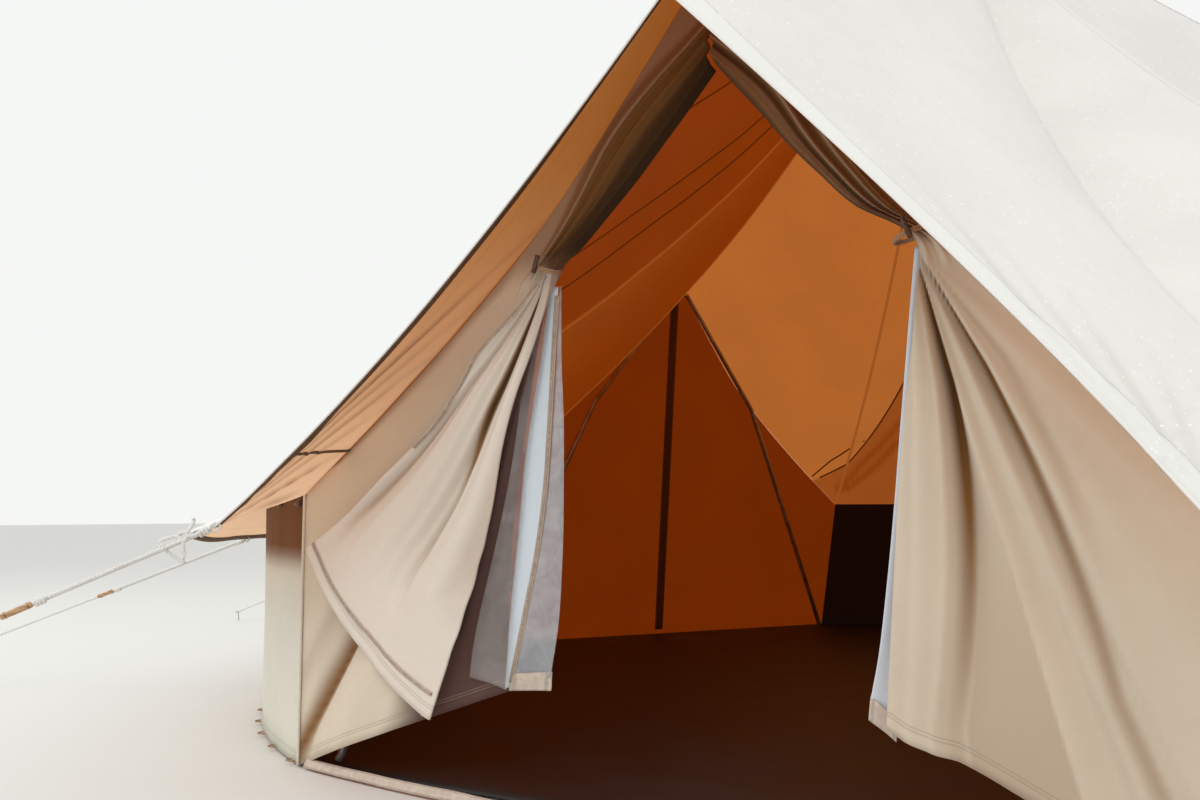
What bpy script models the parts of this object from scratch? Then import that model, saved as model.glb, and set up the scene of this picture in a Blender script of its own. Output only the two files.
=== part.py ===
"""Canvas bell tent with three gabled doorways.

The front gable faces -Y, the floor lies on the XY plane and +Z is up.
Every length is in metres.  The front gable is drawn once, on its right-hand
side, then mirrored for its left and turned a third of a circle for the others.
"""
import math

import bmesh
import bpy
from mathutils import Matrix, Vector

# Overall size
PEAK_HEIGHT = 3.05
WALL_HEIGHT = 0.74
SIDE_RADIUS = 2.56
THIRD = math.radians(120.0)
HALF_THIRD = math.radians(60.0)

# Cloth and clearances
ROOF_CLOTH = 0.010
WALL_CLOTH = 0.008
LEAF_CLOTH = 0.006
MESH_CLOTH = 0.004
SEAM_GAP = 0.0002
LEAF_GAP = 0.0004
MESH_BACK = -(WALL_CLOTH + MESH_CLOTH + LEAF_GAP)
FIT_GAP = 0.0005
GROUND_GAP = 0.004

# Gable outline, on its right-hand side
GABLE_FOOT_X = 1.16
GABLE_FOOT_Y = -2.225
GABLE_LEAN = 0.0957
GABLE_CURVE = ((0.0, 1.985), (0.20, 1.710), (0.42, 1.425), (0.66, 1.190), (0.93, 0.960), (1.21, WALL_HEIGHT))
HEM_PEAK = Vector((0.0, -2.28, 1.785))
HEM_CORNER = Vector((1.04, -2.596, 0.655))
HEM_BOW = Vector((0.082, 0.066, -0.070))

# Roof shape between the gables
RIDGE_SAG = 0.01
VALLEY_SAG = 0.30
SIDE_SAG = 0.22
SAG_TOWARDS_PEAK = 1.0 / 3.0
SKIRT_RADIUS = 2.76
SKIRT_HEIGHT = 0.585
PEAK_HOLE = 0.020
PANEL_COLUMNS = 10
GORE_COLUMNS = 8

# Front doorway
OPENING_EDGE = (
    (0.0, 1.700), (0.055, 1.640), (0.115, 1.570), (0.180, 1.490), (0.255, 1.410), (0.335, 1.330), (0.445, 1.240),
    (0.470, 1.140), (0.500, 1.000), (0.540, 0.820), (0.590, 0.590), (0.645, 0.370), (0.710, 0.170))

# Poles, groundsheet and guy lines, each line as its level run and its slider's share of the way
POLE_RADIUS = 0.019
POLE_BELOW_PEAK = 0.040
FRAME_RADIUS = 0.0125
FRAME_TOP = (0.035, 1.870)
FRAME_SHOULDER = (0.500, 1.275)
FRAME_STAND_OFF = 0.051
FRAME_FOOT_INSET = 0.075
FLOOR_CLOTH = 0.008
ROPE_RADIUS = 0.004
ROPE_START = 0.0017
FRONT_LINE = (1.37, 0.30)
SIDE_LINE = (1.37, 0.41)
REAR_LINE = (1.83, 0.80)
SLIDER_SIZE = (0.085, 0.026, 0.014)
PEG_RADIUS = 0.006
PEG_TOP = 0.055

GABLES = (("front", 0.0), ("rear_right", THIRD), ("rear_left", -THIRD))


def clear_scene():
    for item in list(bpy.data.objects):
        bpy.data.objects.remove(item, do_unlink=True)
    for group in list(bpy.data.collections):
        bpy.data.collections.remove(group)


def new_collection(name):
    group = bpy.data.collections.new(name)
    bpy.context.scene.collection.children.link(group)
    return group


def cloth_material(name, colour, roughness=0.85, metallic=0.0):
    material = bpy.data.materials.new(name)
    material.use_nodes = True
    shader = material.node_tree.nodes["Principled BSDF"]
    shader.inputs["Base Color"].default_value = (*colour, 1.0)
    shader.inputs["Roughness"].default_value = roughness
    shader.inputs["Metallic"].default_value = metallic
    material.diffuse_color = (*colour, 1.0)
    return material


def curve_at(points, x):
    """Height of a smooth line through (x, z) points."""
    count = len(points)
    for index in range(count - 1):
        x0, z0 = points[index]
        x1, z1 = points[index + 1]
        if x <= x1 or index == count - 2:
            before = points[max(index - 1, 0)]
            after = points[min(index + 2, count - 1)]
            slope0 = (z1 - before[1]) / (x1 - before[0])
            slope1 = (after[1] - z0) / (after[0] - x0)
            width = x1 - x0
            t = (x - x0) / width
            return (z0 * (2 * t ** 3 - 3 * t ** 2 + 1) + slope0 * width * (t ** 3 - 2 * t ** 2 + t)
                    + z1 * (3 * t ** 2 - 2 * t ** 3) + slope1 * width * (t ** 3 - t ** 2))
    return points[-1][1]


def gable_point(x, z, forward=0.0):
    """A point on the leaning gable face, moved forward of it if asked."""
    return Vector((x, GABLE_FOOT_Y + GABLE_LEAN * z - forward, z))


def around(radius, angle, height):
    """A point at an angle measured from the front, towards the right."""
    return Vector((radius * math.sin(angle), -radius * math.cos(angle), height))


PEAK = Vector((0.0, 0.0, PEAK_HEIGHT))
GABLE_HALF = GABLE_CURVE[-1][0]
GABLE_CORNER = gable_point(GABLE_HALF, WALL_HEIGHT)
GABLE_FOOT = Vector((GABLE_FOOT_X, GABLE_FOOT_Y, 0.0))
CORNER_ANGLE = math.atan2(GABLE_CORNER.x, -GABLE_CORNER.y)
CORNER_RADIUS = GABLE_CORNER.to_2d().length
FOOT_ANGLE = math.atan2(GABLE_FOOT.x, -GABLE_FOOT.y)
FOOT_RADIUS = GABLE_FOOT.to_2d().length
HEM_ANGLE = math.atan2(HEM_CORNER.x, -HEM_CORNER.y)
HEM_RADIUS = HEM_CORNER.to_2d().length


def mix(a, b, t):
    return a + (b - a) * t


def slung(end, t, sag):
    """A roof line from the peak to its end: it sags most in its upper half, so it is steepest at the peak."""
    point = mix(PEAK, end, t)
    point.z -= sag * 4.0 * t * (1.0 - t) * (1.0 + SAG_TOWARDS_PEAK * (1.0 - 2.0 * t))
    return point


def junction_point(v):
    """Where the roof crosses the gable face."""
    x = GABLE_HALF * v
    return gable_point(x, curve_at(GABLE_CURVE, x))


def hem_point(v):
    return mix(HEM_PEAK, HEM_CORNER, v) + HEM_BOW * (4.0 * v * (1.0 - v))


def side_swell(v):
    """0 at a gable corner, 1 half-way to the next gable."""
    return math.sin(0.5 * math.pi * v)


def eave_point(v):
    angle = mix(CORNER_ANGLE, HALF_THIRD, v)
    return around(mix(CORNER_RADIUS, SIDE_RADIUS, side_swell(v)), angle, WALL_HEIGHT)


def skirt_point(v):
    angle = mix(HEM_ANGLE, HALF_THIRD, v)
    height = mix(HEM_CORNER.z, SKIRT_HEIGHT, side_swell(v))
    return around(mix(HEM_RADIUS, SKIRT_RADIUS, side_swell(v)), angle, height)


def wall_foot(v):
    angle = mix(FOOT_ANGLE, HALF_THIRD, v)
    return around(mix(FOOT_RADIUS, SIDE_RADIUS, side_swell(v)), angle, 0.0)


def roof_line(v, gable, t):
    """A point of the roof between the peak and the eave or gable face."""
    if gable:
        return slung(junction_point(v), t, mix(RIDGE_SAG, VALLEY_SAG, v * v))
    return slung(eave_point(v), t, mix(VALLEY_SAG, SIDE_SAG, side_swell(v)))


def draw_in(rows, amount):
    """Pull the first and last point of each row inwards, along the row."""
    for row in rows:
        for end, near in ((0, 1), (-1, -2)):
            flat = row[near] - row[end]
            flat.z = 0.0
            row[end] = row[end] + (row[near] - row[end]) * (amount / flat.length)
    return rows


def roof_rows(gable, columns, spacing):
    rows = []
    for step in spacing:
        row = []
        for column in range(columns + 1):
            v = column / columns
            if step <= 1.0:
                row.append(roof_line(v, gable, step))
            else:
                inner = junction_point(v) if gable else eave_point(v)
                outer = hem_point(v) if gable else skirt_point(v)
                row.append(mix(inner, outer, step - 1.0))
        rows.append(row)
    return draw_in(rows, SEAM_GAP)


def shifted(rows, offset):
    return [[point + offset for point in row] for row in rows]


def sheet_body(name, outer, inner, group, material):
    """A thin closed body between two matching grids of points."""
    mesh = bmesh.new()
    height = len(outer)
    width = len(outer[0])
    front = [[mesh.verts.new(point) for point in row] for row in outer]
    back = [[mesh.verts.new(point) for point in row] for row in inner]
    for i in range(height - 1):
        for j in range(width - 1):
            mesh.faces.new((front[i][j], front[i][j + 1], front[i + 1][j + 1], front[i + 1][j]))
            mesh.faces.new((back[i][j], back[i + 1][j], back[i + 1][j + 1], back[i][j + 1]))
    for i in range(height - 1):
        mesh.faces.new((front[i][0], front[i + 1][0], back[i + 1][0], back[i][0]))
        mesh.faces.new((front[i][-1], back[i][-1], back[i + 1][-1], front[i + 1][-1]))
    for j in range(width - 1):
        mesh.faces.new((front[0][j], back[0][j], back[0][j + 1], front[0][j + 1]))
        mesh.faces.new((front[-1][j], front[-1][j + 1], back[-1][j + 1], back[-1][j]))
    return finish(name, mesh, group, material)


def finish(name, mesh, group, material, sharp=35.0):
    """Turn the mesh outwards, split it into triangles and link it."""
    bmesh.ops.triangulate(mesh, faces=mesh.faces[:])
    bmesh.ops.recalc_face_normals(mesh, faces=mesh.faces[:])
    for face in mesh.faces:
        face.smooth = True
    for edge in mesh.edges:
        edge.smooth = edge.calc_face_angle(math.pi) < math.radians(sharp)
    data = bpy.data.meshes.new(name)
    mesh.to_mesh(data)
    mesh.free()
    data.materials.append(material)
    item = bpy.data.objects.new(name, data)
    group.objects.link(item)
    return item


def placed(rows, mirrored, turn):
    """Mirror a grid to the left and turn it to its gable."""
    matrix = Matrix.Rotation(turn, 4, "Z")
    if mirrored:
        matrix = matrix @ Matrix.Scale(-1.0, 4, Vector((1.0, 0.0, 0.0)))
    return [[matrix @ point for point in row] for row in rows]


def placed_point(point, mirrored, turn):
    return placed([[point]], mirrored, turn)[0][0]


def build_roof(group, material):
    slope = [PEAK_HOLE, 0.045, 0.07, 0.10, 0.14, 0.18, 0.23, 0.28, 0.33, 0.44, 0.55, 0.66, 0.77, 0.88, 0.95, 1.0]
    flare = [1.25, 1.5, 1.75, 2.0]
    drop = Vector((0.0, 0.0, -ROOF_CLOTH))
    panel = roof_rows(True, PANEL_COLUMNS, slope + flare)
    gore = roof_rows(False, GORE_COLUMNS, slope + flare)
    for gable, turn in GABLES:
        for side, mirrored in (("right", False), ("left", True)):
            for kind, rows in (("panel", panel), ("gore", gore)):
                outer = placed(rows, mirrored, turn)
                sheet_body(f"roof_{kind}_{gable}_{side}", outer, shifted(outer, drop), group, material)


def corner_offset(thickness):
    """Common inward step of the gable face and the wall where they meet."""
    face_way = Vector((0.0, 1.0, 0.0))
    wall_way = -around(1.0, FOOT_ANGLE + math.radians(4.0), 0.0)
    middle = (face_way + wall_way).normalized()
    return middle * (thickness / middle.dot(face_way))


def build_walls(group, material):
    columns = GORE_COLUMNS
    top_gap = Vector((0.0, 0.0, ROOF_CLOTH + FIT_GAP))
    outer = []
    inner = []
    for level in range(5):
        t = level / 4.0
        outer_row = []
        inner_row = []
        for column in range(columns + 1):
            v = column / columns
            foot = wall_foot(v) + Vector((0.0, 0.0, GROUND_GAP))
            top = eave_point(v) - top_gap
            point = mix(foot, top, t)
            if column == 0:
                step = corner_offset(WALL_CLOTH)
            else:
                step = -around(WALL_CLOTH, math.atan2(point.x, -point.y), 0.0)
            outer_row.append(point)
            inner_row.append(point + step)
        outer.append(outer_row)
        inner.append(inner_row)
    draw_in(outer, SEAM_GAP)
    draw_in(inner, SEAM_GAP)
    for gable, turn in GABLES:
        for side, mirrored in (("right", False), ("left", True)):
            sheet_body(f"wall_{gable}_{side}", placed(outer, mirrored, turn),
                       placed(inner, mirrored, turn), group, material)


def under_roof(v):
    """The top edge of a gable cloth, just below the roof."""
    x = GABLE_HALF * v
    return gable_point(x, curve_at(GABLE_CURVE, x) - ROOF_CLOTH - 0.002)


def gable_offset(at_corner):
    if at_corner:
        return corner_offset(WALL_CLOTH)
    return Vector((0.0, WALL_CLOTH, 0.0))


def build_closed_doors(group, material):
    """Both leaves of the two gables that stay shut."""
    columns = PANEL_COLUMNS
    outer = []
    inner = []
    for level in range(7):
        t = level / 6.0
        outer_row = []
        inner_row = []
        for column in range(columns + 1):
            v = column / columns
            foot = gable_point(GABLE_FOOT_X * v, GROUND_GAP)
            point = mix(foot, under_roof(v), t)
            outer_row.append(point)
            inner_row.append(point + gable_offset(column == columns))
        outer.append(outer_row)
        inner.append(inner_row)
    draw_in(outer, SEAM_GAP)
    draw_in(inner, SEAM_GAP)
    for gable, turn in GABLES[1:]:
        for side, mirrored in (("right", False), ("left", True)):
            sheet_body(f"door_{gable}_{side}", placed(outer, mirrored, turn),
                       placed(inner, mirrored, turn), group, material)


def build_front_face(group, material):
    """The fixed cloth beside and over the front doorway."""
    inner_edge = [gable_point(x, z) for x, z in OPENING_EDGE]
    outer_edge = [under_roof(column / PANEL_COLUMNS) for column in range(PANEL_COLUMNS + 1)]
    foot = gable_point(GABLE_FOOT_X, GROUND_GAP)
    outer_edge += [mix(outer_edge[-1], foot, 0.5), foot]
    first_corner = len(outer_edge) - 3
    columns = 6
    outer = []
    inner = []
    for index, (near, far) in enumerate(zip(inner_edge, outer_edge)):
        outer_row = []
        inner_row = []
        for column in range(columns + 1):
            point = mix(near, far, column / columns)
            at_corner = column == columns and index >= first_corner
            outer_row.append(point)
            inner_row.append(point + gable_offset(at_corner))
        outer.append(outer_row)
        inner.append(inner_row)
    away = Vector((SEAM_GAP, 0.0, 0.0))
    for rows in (outer, inner):
        rows[0] = [point + away for point in rows[0]]
        for index in range(first_corner, len(rows)):
            rows[index][-1] = rows[index][-1] - away
    for side, mirrored in (("right", False), ("left", True)):
        sheet_body(f"front_gable_face_{side}", placed(outer, mirrored, 0.0),
                   placed(inner, mirrored, 0.0), group, material)


def draped_sheet(name, left_edge, right_edge, folds, depth, forward, cloth, sign, group, material):
    """A tied-back cloth that fans out from its tie in soft folds.

    left_edge and right_edge are matching (x, z) points on the gable face.
    """
    columns = folds * 6
    outer = []
    inner = []
    count = len(left_edge)
    for index in range(count):
        t = index / (count - 1)
        reach = depth * min(1.0, 1.6 * t + 0.10)
        outer_row = []
        inner_row = []
        for column in range(columns + 1):
            s = column / columns
            x = mix(left_edge[index][0], right_edge[index][0], s)
            z = mix(left_edge[index][1], right_edge[index][1], s)
            wave = 0.5 - 0.5 * math.cos(2.0 * math.pi * folds * s)
            stand = forward + reach * wave
            outer_row.append(gable_point(sign * x, z, stand + cloth))
            inner_row.append(gable_point(sign * x, z, stand))
        outer.append(outer_row)
        inner.append(inner_row)
    return sheet_body(name, outer, inner, group, material)


def build_front_doors(group, canvas, mesh_cloth):
    """Canvas leaves and insect-mesh leaves, both tied back half-way up."""
    draped_sheet(
        "front_door_leaf_left",
        ((0.425, 1.262), (0.56, 1.175), (0.70, 1.055), (0.85, 0.880), (1.02, 0.715), (1.165, 0.590)),
        ((0.418, 1.225), (0.45, 1.060), (0.50, 0.860), (0.56, 0.630), (0.62, 0.420), (0.695, 0.215)),
        3, 0.055, LEAF_GAP, LEAF_CLOTH, -1.0, group, canvas)
    draped_sheet(
        "front_door_leaf_right",
        ((0.450, 1.225), (0.455, 1.060), (0.460, 0.860), (0.465, 0.640), (0.475, 0.430), (0.490, 0.245)),
        ((0.505, 1.232), (0.620, 1.060), (0.720, 0.860), (0.820, 0.640), (0.905, 0.420), (0.975, 0.200)),
        3, 0.060, LEAF_GAP, LEAF_CLOTH, 1.0, group, canvas)
    draped_sheet(
        "front_mesh_door_left",
        ((0.402, 1.240), (0.372, 1.060), (0.352, 0.880), (0.342, 0.680), (0.338, 0.480), (0.343, 0.275)),
        ((0.460, 1.238), (0.432, 1.060), (0.444, 0.880), (0.460, 0.680), (0.474, 0.480), (0.489, 0.275)),
        2, -0.022, MESH_BACK, MESH_CLOTH, -1.0, group, mesh_cloth)
    draped_sheet(
        "front_mesh_door_right",
        ((0.462, 1.205), (0.452, 1.060), (0.446, 0.880), (0.436, 0.680), (0.424, 0.480), (0.408, 0.275)),
        ((0.490, 1.208), (0.492, 1.060), (0.494, 0.880), (0.494, 0.680), (0.492, 0.480), (0.488, 0.275)),
        2, -0.022, MESH_BACK, MESH_CLOTH, 1.0, group, mesh_cloth)


def build_cap(group, material):
    """Reinforced peak piece lying over the tops of the roof panels."""
    steps = (0.012, PEAK_HOLE, 0.045, 0.07)
    mesh = bmesh.new()
    upper = []
    lower = []
    for step in steps:
        upper_row = []
        lower_row = []
        for gable, turn in (GABLES[0], GABLES[1], GABLES[2]):
            ring = []
            for kind, columns in ((False, GORE_COLUMNS), (True, PANEL_COLUMNS)):
                for column in range(columns, 0, -1):
                    ring.append((True, kind, column / columns))
            for kind, columns in ((True, PANEL_COLUMNS), (False, GORE_COLUMNS)):
                for column in range(columns):
                    ring.append((False, kind, column / columns))
            for mirrored, kind, v in ring:
                point = placed_point(roof_line(v, kind, step), mirrored, turn)
                lower_row.append(point + Vector((0.0, 0.0, FIT_GAP)))
                upper_row.append(point + Vector((0.0, 0.0, FIT_GAP + WALL_CLOTH)))
        upper.append([mesh.verts.new(point) for point in upper_row])
        lower.append([mesh.verts.new(point) for point in lower_row])
    count = len(upper[0])
    top = mesh.verts.new(PEAK + Vector((0.0, 0.0, FIT_GAP + WALL_CLOTH)))
    bottom = mesh.verts.new(PEAK + Vector((0.0, 0.0, FIT_GAP)))
    for j in range(count):
        k = (j + 1) % count
        mesh.faces.new((top, upper[0][j], upper[0][k]))
        mesh.faces.new((bottom, lower[0][k], lower[0][j]))
        for i in range(len(steps) - 1):
            mesh.faces.new((upper[i][j], upper[i + 1][j], upper[i + 1][k], upper[i][k]))
            mesh.faces.new((lower[i][j], lower[i][k], lower[i + 1][k], lower[i + 1][j]))
        mesh.faces.new((upper[-1][j], lower[-1][j], lower[-1][k], upper[-1][k]))
    finish("peak_cap", mesh, group, material)


def build_groundsheet(group, material):
    """Heavy flat floor sheet, straight across each doorway."""
    inset = WALL_CLOTH + FIT_GAP + GABLE_LEAN * FLOOR_CLOTH
    outline = []
    for gable, turn in GABLES:
        side = []
        for column in range(GORE_COLUMNS + 1):
            point = wall_foot(column / GORE_COLUMNS)
            inward = -around(inset, math.atan2(point.x, -point.y), 0.0)
            if column == 0:
                inward = corner_offset(inset)
            side.append(point + inward)
        outline += [placed_point(point, True, turn) for point in reversed(side[:-1])]
        outline += [placed_point(point, False, turn) for point in side]
    mesh = bmesh.new()
    floor = mesh.faces.new([mesh.verts.new(point) for point in outline])
    grown = bmesh.ops.extrude_face_region(mesh, geom=[floor])
    raised = [item for item in grown["geom"] if isinstance(item, bmesh.types.BMVert)]
    bmesh.ops.translate(mesh, verts=raised, vec=(0.0, 0.0, FLOOR_CLOTH))
    finish("groundsheet", mesh, group, material)


def rod(start, end, radius, sides=20):
    """A plain round bar between two points, as a bmesh."""
    mesh = bmesh.new()
    way = end - start
    turn = way.to_track_quat("Z", "Y").to_matrix().to_4x4()
    matrix = Matrix.Translation((start + end) * 0.5) @ turn
    bmesh.ops.create_cone(mesh, cap_ends=True, segments=sides, radius1=radius, radius2=radius,
                          depth=way.length, matrix=matrix)
    return mesh


def build_poles(group, steel):
    base = Vector((0.0, 0.0, FLOOR_CLOTH + FIT_GAP))
    top = Vector((0.0, 0.0, PEAK_HEIGHT - POLE_BELOW_PEAK))
    finish("centre_pole", rod(base, top, POLE_RADIUS, 28), group, steel)
    set_back = WALL_CLOTH + FRAME_RADIUS + FRAME_STAND_OFF
    foot_x = GABLE_FOOT_X - FRAME_FOOT_INSET
    lean = gable_point(*FRAME_SHOULDER) - gable_point(foot_x, FLOOR_CLOTH)
    foot_height = FLOOR_CLOTH + FIT_GAP + FRAME_RADIUS * lean.to_2d().length / lean.length
    leg = [(foot_x, foot_height), FRAME_SHOULDER, FRAME_TOP]
    for gable, turn in GABLES:
        left = [gable_point(-x, z, -set_back) for x, z in leg]
        right = [gable_point(x, z, -set_back) for x, z in reversed(leg)]
        path = left + right
        curve = bpy.data.curves.new(f"a_frame_{gable}_path", "CURVE")
        curve.dimensions = "3D"
        line = curve.splines.new("POLY")
        line.points.add(len(path) - 1)
        for place, point in zip(line.points, path):
            place.co = (*point, 1.0)
        curve.bevel_depth = FRAME_RADIUS
        curve.bevel_resolution = 4
        curve.use_fill_caps = True
        holder = bpy.data.objects.new(f"a_frame_{gable}_path", curve)
        group.objects.link(holder)
        depsgraph = bpy.context.evaluated_depsgraph_get()
        made = bpy.data.meshes.new_from_object(holder.evaluated_get(depsgraph))
        mesh = bmesh.new()
        mesh.from_mesh(made)
        bmesh.ops.remove_doubles(mesh, verts=mesh.verts[:], dist=0.00001)
        bmesh.ops.transform(mesh, matrix=Matrix.Rotation(turn, 4, "Z") @ holder.matrix_world, verts=mesh.verts[:])
        bpy.data.objects.remove(holder, do_unlink=True)
        finish(f"a_frame_{gable}", mesh, group, steel)


def ring_of(centre, across, upward, half_width, half_height, squareness, sides=12):
    """Points round a section that runs from round (0) to nearly square (1)."""
    power = mix(1.0, 0.45, squareness)
    points = []
    for index in range(sides):
        angle = 2.0 * math.pi * (index + 0.5) / sides
        c = math.copysign(abs(math.cos(angle)) ** power, math.cos(angle))
        s = math.copysign(abs(math.sin(angle)) ** power, math.sin(angle))
        points.append(centre + across * (half_width * c) + upward * (half_height * s))
    return points


def build_guy(name, corner, outward, line, group, rope):
    """A taut guy line: rope, wooden slider and peg head drawn as one run.

    line gives the level distance to the peg and the slider's share of the way.
    """
    run, slider_place = line
    across = Vector((-outward.y, outward.x, 0.0))
    start = corner + outward * ROPE_START + Vector((0.0, 0.0, -0.5 * ROOF_CLOTH))
    anchor = Vector((corner.x, corner.y, PEG_TOP)) + outward * run
    way = (anchor - start).normalized()
    upward = way.cross(across)
    if upward.z < 0.0:
        upward = -upward
    length, width, height = SLIDER_SIZE
    middle = (anchor - start).length * slider_place
    rings = [ring_of(start, across, upward, ROPE_RADIUS, ROPE_RADIUS, 0.0)]
    for step, half_width, half_height, squareness in (
            (-0.50 * length, ROPE_RADIUS, ROPE_RADIUS, 0.0),
            (-0.49 * length, 0.42 * width, 0.42 * height, 0.8),
            (-0.44 * length, 0.50 * width, 0.50 * height, 1.0),
            (0.44 * length, 0.50 * width, 0.50 * height, 1.0),
            (0.49 * length, 0.42 * width, 0.42 * height, 0.8),
            (0.50 * length, ROPE_RADIUS, ROPE_RADIUS, 0.0)):
        rings.append(ring_of(start + way * (middle + step), across, upward, half_width, half_height, squareness))
    mitre = (upward + outward).normalized()
    rings.append(ring_of(anchor - way * 0.020, across, upward, ROPE_RADIUS, ROPE_RADIUS, 0.0))
    rings.append(ring_of(anchor, across, mitre, PEG_RADIUS, PEG_RADIUS * 1.15, 0.0))
    rings.append(ring_of(anchor + Vector((0.0, 0.0, -0.014)), across, outward, PEG_RADIUS, PEG_RADIUS, 0.0))
    rings.append(ring_of(Vector((anchor.x, anchor.y, 0.0)), across, outward, PEG_RADIUS, PEG_RADIUS, 0.0))
    mesh = bmesh.new()
    loops = [[mesh.verts.new(point) for point in ring] for ring in rings]
    count = len(loops[0])
    for near, far in zip(loops, loops[1:]):
        for j in range(count):
            k = (j + 1) % count
            mesh.faces.new((near[j], near[k], far[k], far[j]))
    mesh.faces.new(loops[0])
    mesh.faces.new(loops[-1])
    return finish(name, mesh, group, rope)


def build_guys(group, rope):
    for gable, turn in GABLES:
        for side, mirrored in (("right", False), ("left", True)):
            corner = placed_point(HEM_CORNER, mirrored, turn)
            away = placed_point(around(1.0, math.radians(30.0), 0.0), mirrored, turn)
            line = FRONT_LINE if gable == "front" else REAR_LINE
            build_guy(f"guy_{gable}_{side}", corner, away, line, group, rope)
    for name, turn in (("side_right", HALF_THIRD), ("side_left", -HALF_THIRD), ("rear", math.pi)):
        corner = around(SKIRT_RADIUS, turn, SKIRT_HEIGHT)
        away = around(1.0, turn, 0.0)
        build_guy(f"guy_{name}", corner, away, SIDE_LINE, group, rope)


def main():
    clear_scene()
    group = new_collection("canvas_bell_tent")
    roof_canvas = cloth_material("roof_canvas", (0.80, 0.76, 0.70))
    wall_canvas = cloth_material("wall_canvas", (0.70, 0.62, 0.54))
    door_canvas = cloth_material("door_canvas", (0.72, 0.60, 0.53))
    mesh_cloth = cloth_material("insect_mesh", (0.72, 0.75, 0.80), 0.7)
    floor_cloth = cloth_material("floor_cloth", (0.30, 0.22, 0.16), 0.6)
    cap_canvas = cloth_material("cap_canvas", (0.66, 0.58, 0.50))
    steel = cloth_material("galvanised_steel", (0.55, 0.56, 0.58), 0.35, 1.0)
    rope = cloth_material("white_rope", (0.85, 0.84, 0.80), 0.8)
    build_roof(group, roof_canvas)
    build_walls(group, wall_canvas)
    build_closed_doors(group, door_canvas)
    build_front_face(group, wall_canvas)
    build_front_doors(group, door_canvas, mesh_cloth)
    build_cap(group, cap_canvas)
    build_groundsheet(group, floor_cloth)
    build_poles(group, steel)
    build_guys(group, rope)


main()
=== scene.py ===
"""Canvas bell tent, dressed: cloth, seams, zips, ropes, pegs, floor and light.

Lengths are metres. The front gable faces -Y and +Z is up, as in the frame.
A gable is drawn once, on its right-hand side, then mirrored and turned.
"""
import math

import bmesh
import bpy
from mathutils import Matrix, Vector, noise


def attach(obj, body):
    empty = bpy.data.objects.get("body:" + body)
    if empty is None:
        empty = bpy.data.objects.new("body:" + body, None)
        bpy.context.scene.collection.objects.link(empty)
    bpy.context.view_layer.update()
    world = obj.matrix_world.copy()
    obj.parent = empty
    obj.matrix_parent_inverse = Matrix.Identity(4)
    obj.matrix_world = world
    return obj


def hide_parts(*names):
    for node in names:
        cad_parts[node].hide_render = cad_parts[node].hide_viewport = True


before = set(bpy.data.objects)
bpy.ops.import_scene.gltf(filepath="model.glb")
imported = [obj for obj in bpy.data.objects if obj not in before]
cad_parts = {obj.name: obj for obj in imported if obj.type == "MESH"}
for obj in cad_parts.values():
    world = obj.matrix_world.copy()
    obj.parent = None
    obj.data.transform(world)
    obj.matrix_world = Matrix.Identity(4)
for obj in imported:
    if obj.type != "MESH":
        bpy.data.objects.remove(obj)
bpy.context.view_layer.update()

# Tent shape, with the frame's own values
PEAK = Vector((0.0, 0.0, 3.05))
WALL_TOP = 0.74
SIDE_RADIUS = 2.56
SKIRT_RADIUS = 2.76
SKIRT_HEIGHT = 0.585
THIRD = math.radians(120.0)
HALF_THIRD = math.radians(60.0)
FOOT_X = 1.16
FOOT_Y = -2.225
LEAN = 0.0957
GABLE_CURVE = ((0.0, 1.985), (0.20, 1.710), (0.42, 1.425), (0.66, 1.190), (0.93, 0.960), (1.21, WALL_TOP))
HEM_PEAK = Vector((0.0, -2.28, 1.785))
HEM_CORNER = Vector((1.04, -2.596, 0.655))
HEM_BOW = Vector((0.082, 0.066, -0.070))
RIDGE_SAG = 0.01
VALLEY_SAG = 0.30
SIDE_SAG = 0.22
SAG_TOWARDS_PEAK = 1.0 / 3.0
PEAK_HOLE = 0.020
GABLES = (("front", 0.0), ("rear_right", THIRD), ("rear_left", -THIRD))
SIDES = (("right", False), ("left", True))

# Cloth, cord and pegs; a guy line is given as its level run and its slider's share of the way
ROOF_CLOTH = 0.0025
WALL_CLOTH = 0.0022
LEAF_CLOTH = 0.0020
NET_CLOTH = 0.0008
HEM_BAND = 0.080
STITCH_LINE = 0.030
EAVE_ROW = 0.82
GROUND_GAP = 0.004
EAVE_GAP = 0.0035
STRAND_RADIUS = 0.0048
STRAND_TURN = 0.028
PEG_TOP = 0.055
FRONT_LINE = (1.37, 0.30)
SIDE_LINE = (1.37, 0.41)
REAR_LINE = (1.83, 0.80)


# Plain sums
def mix(a, b, t):
    """The value that lies the share t of the way from a to b."""
    return a + (b - a) * t


def clamp(t):
    return min(1.0, max(0.0, t))


def ease(t):
    t = clamp(t)
    return t * t * (3.0 - 2.0 * t)


def rise(x, start, width):
    """0 up to the start, then easing to 1 over the width."""
    return ease((x - start) / width)


def fall(x, end, width):
    """Easing from 1 to 0 over the width before the end."""
    return ease((end - x) / width)


def bell(x, centre, width):
    """1 at the centre, dying away over the width on both sides."""
    return math.exp(-((x - centre) / width) ** 2)


def steps(first, last, count):
    """Evenly spaced numbers from first to last."""
    return [mix(first, last, i / count) for i in range(count + 1)]


def level(points, x):
    """Height of a line that eases from one (x, height) point to the next."""
    if x <= points[0][0]:
        return points[0][1]
    for (x0, h0), (x1, h1) in zip(points, points[1:]):
        if x <= x1:
            return mix(h0, h1, ease((x - x0) / (x1 - x0)))
    return points[-1][1]


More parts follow.
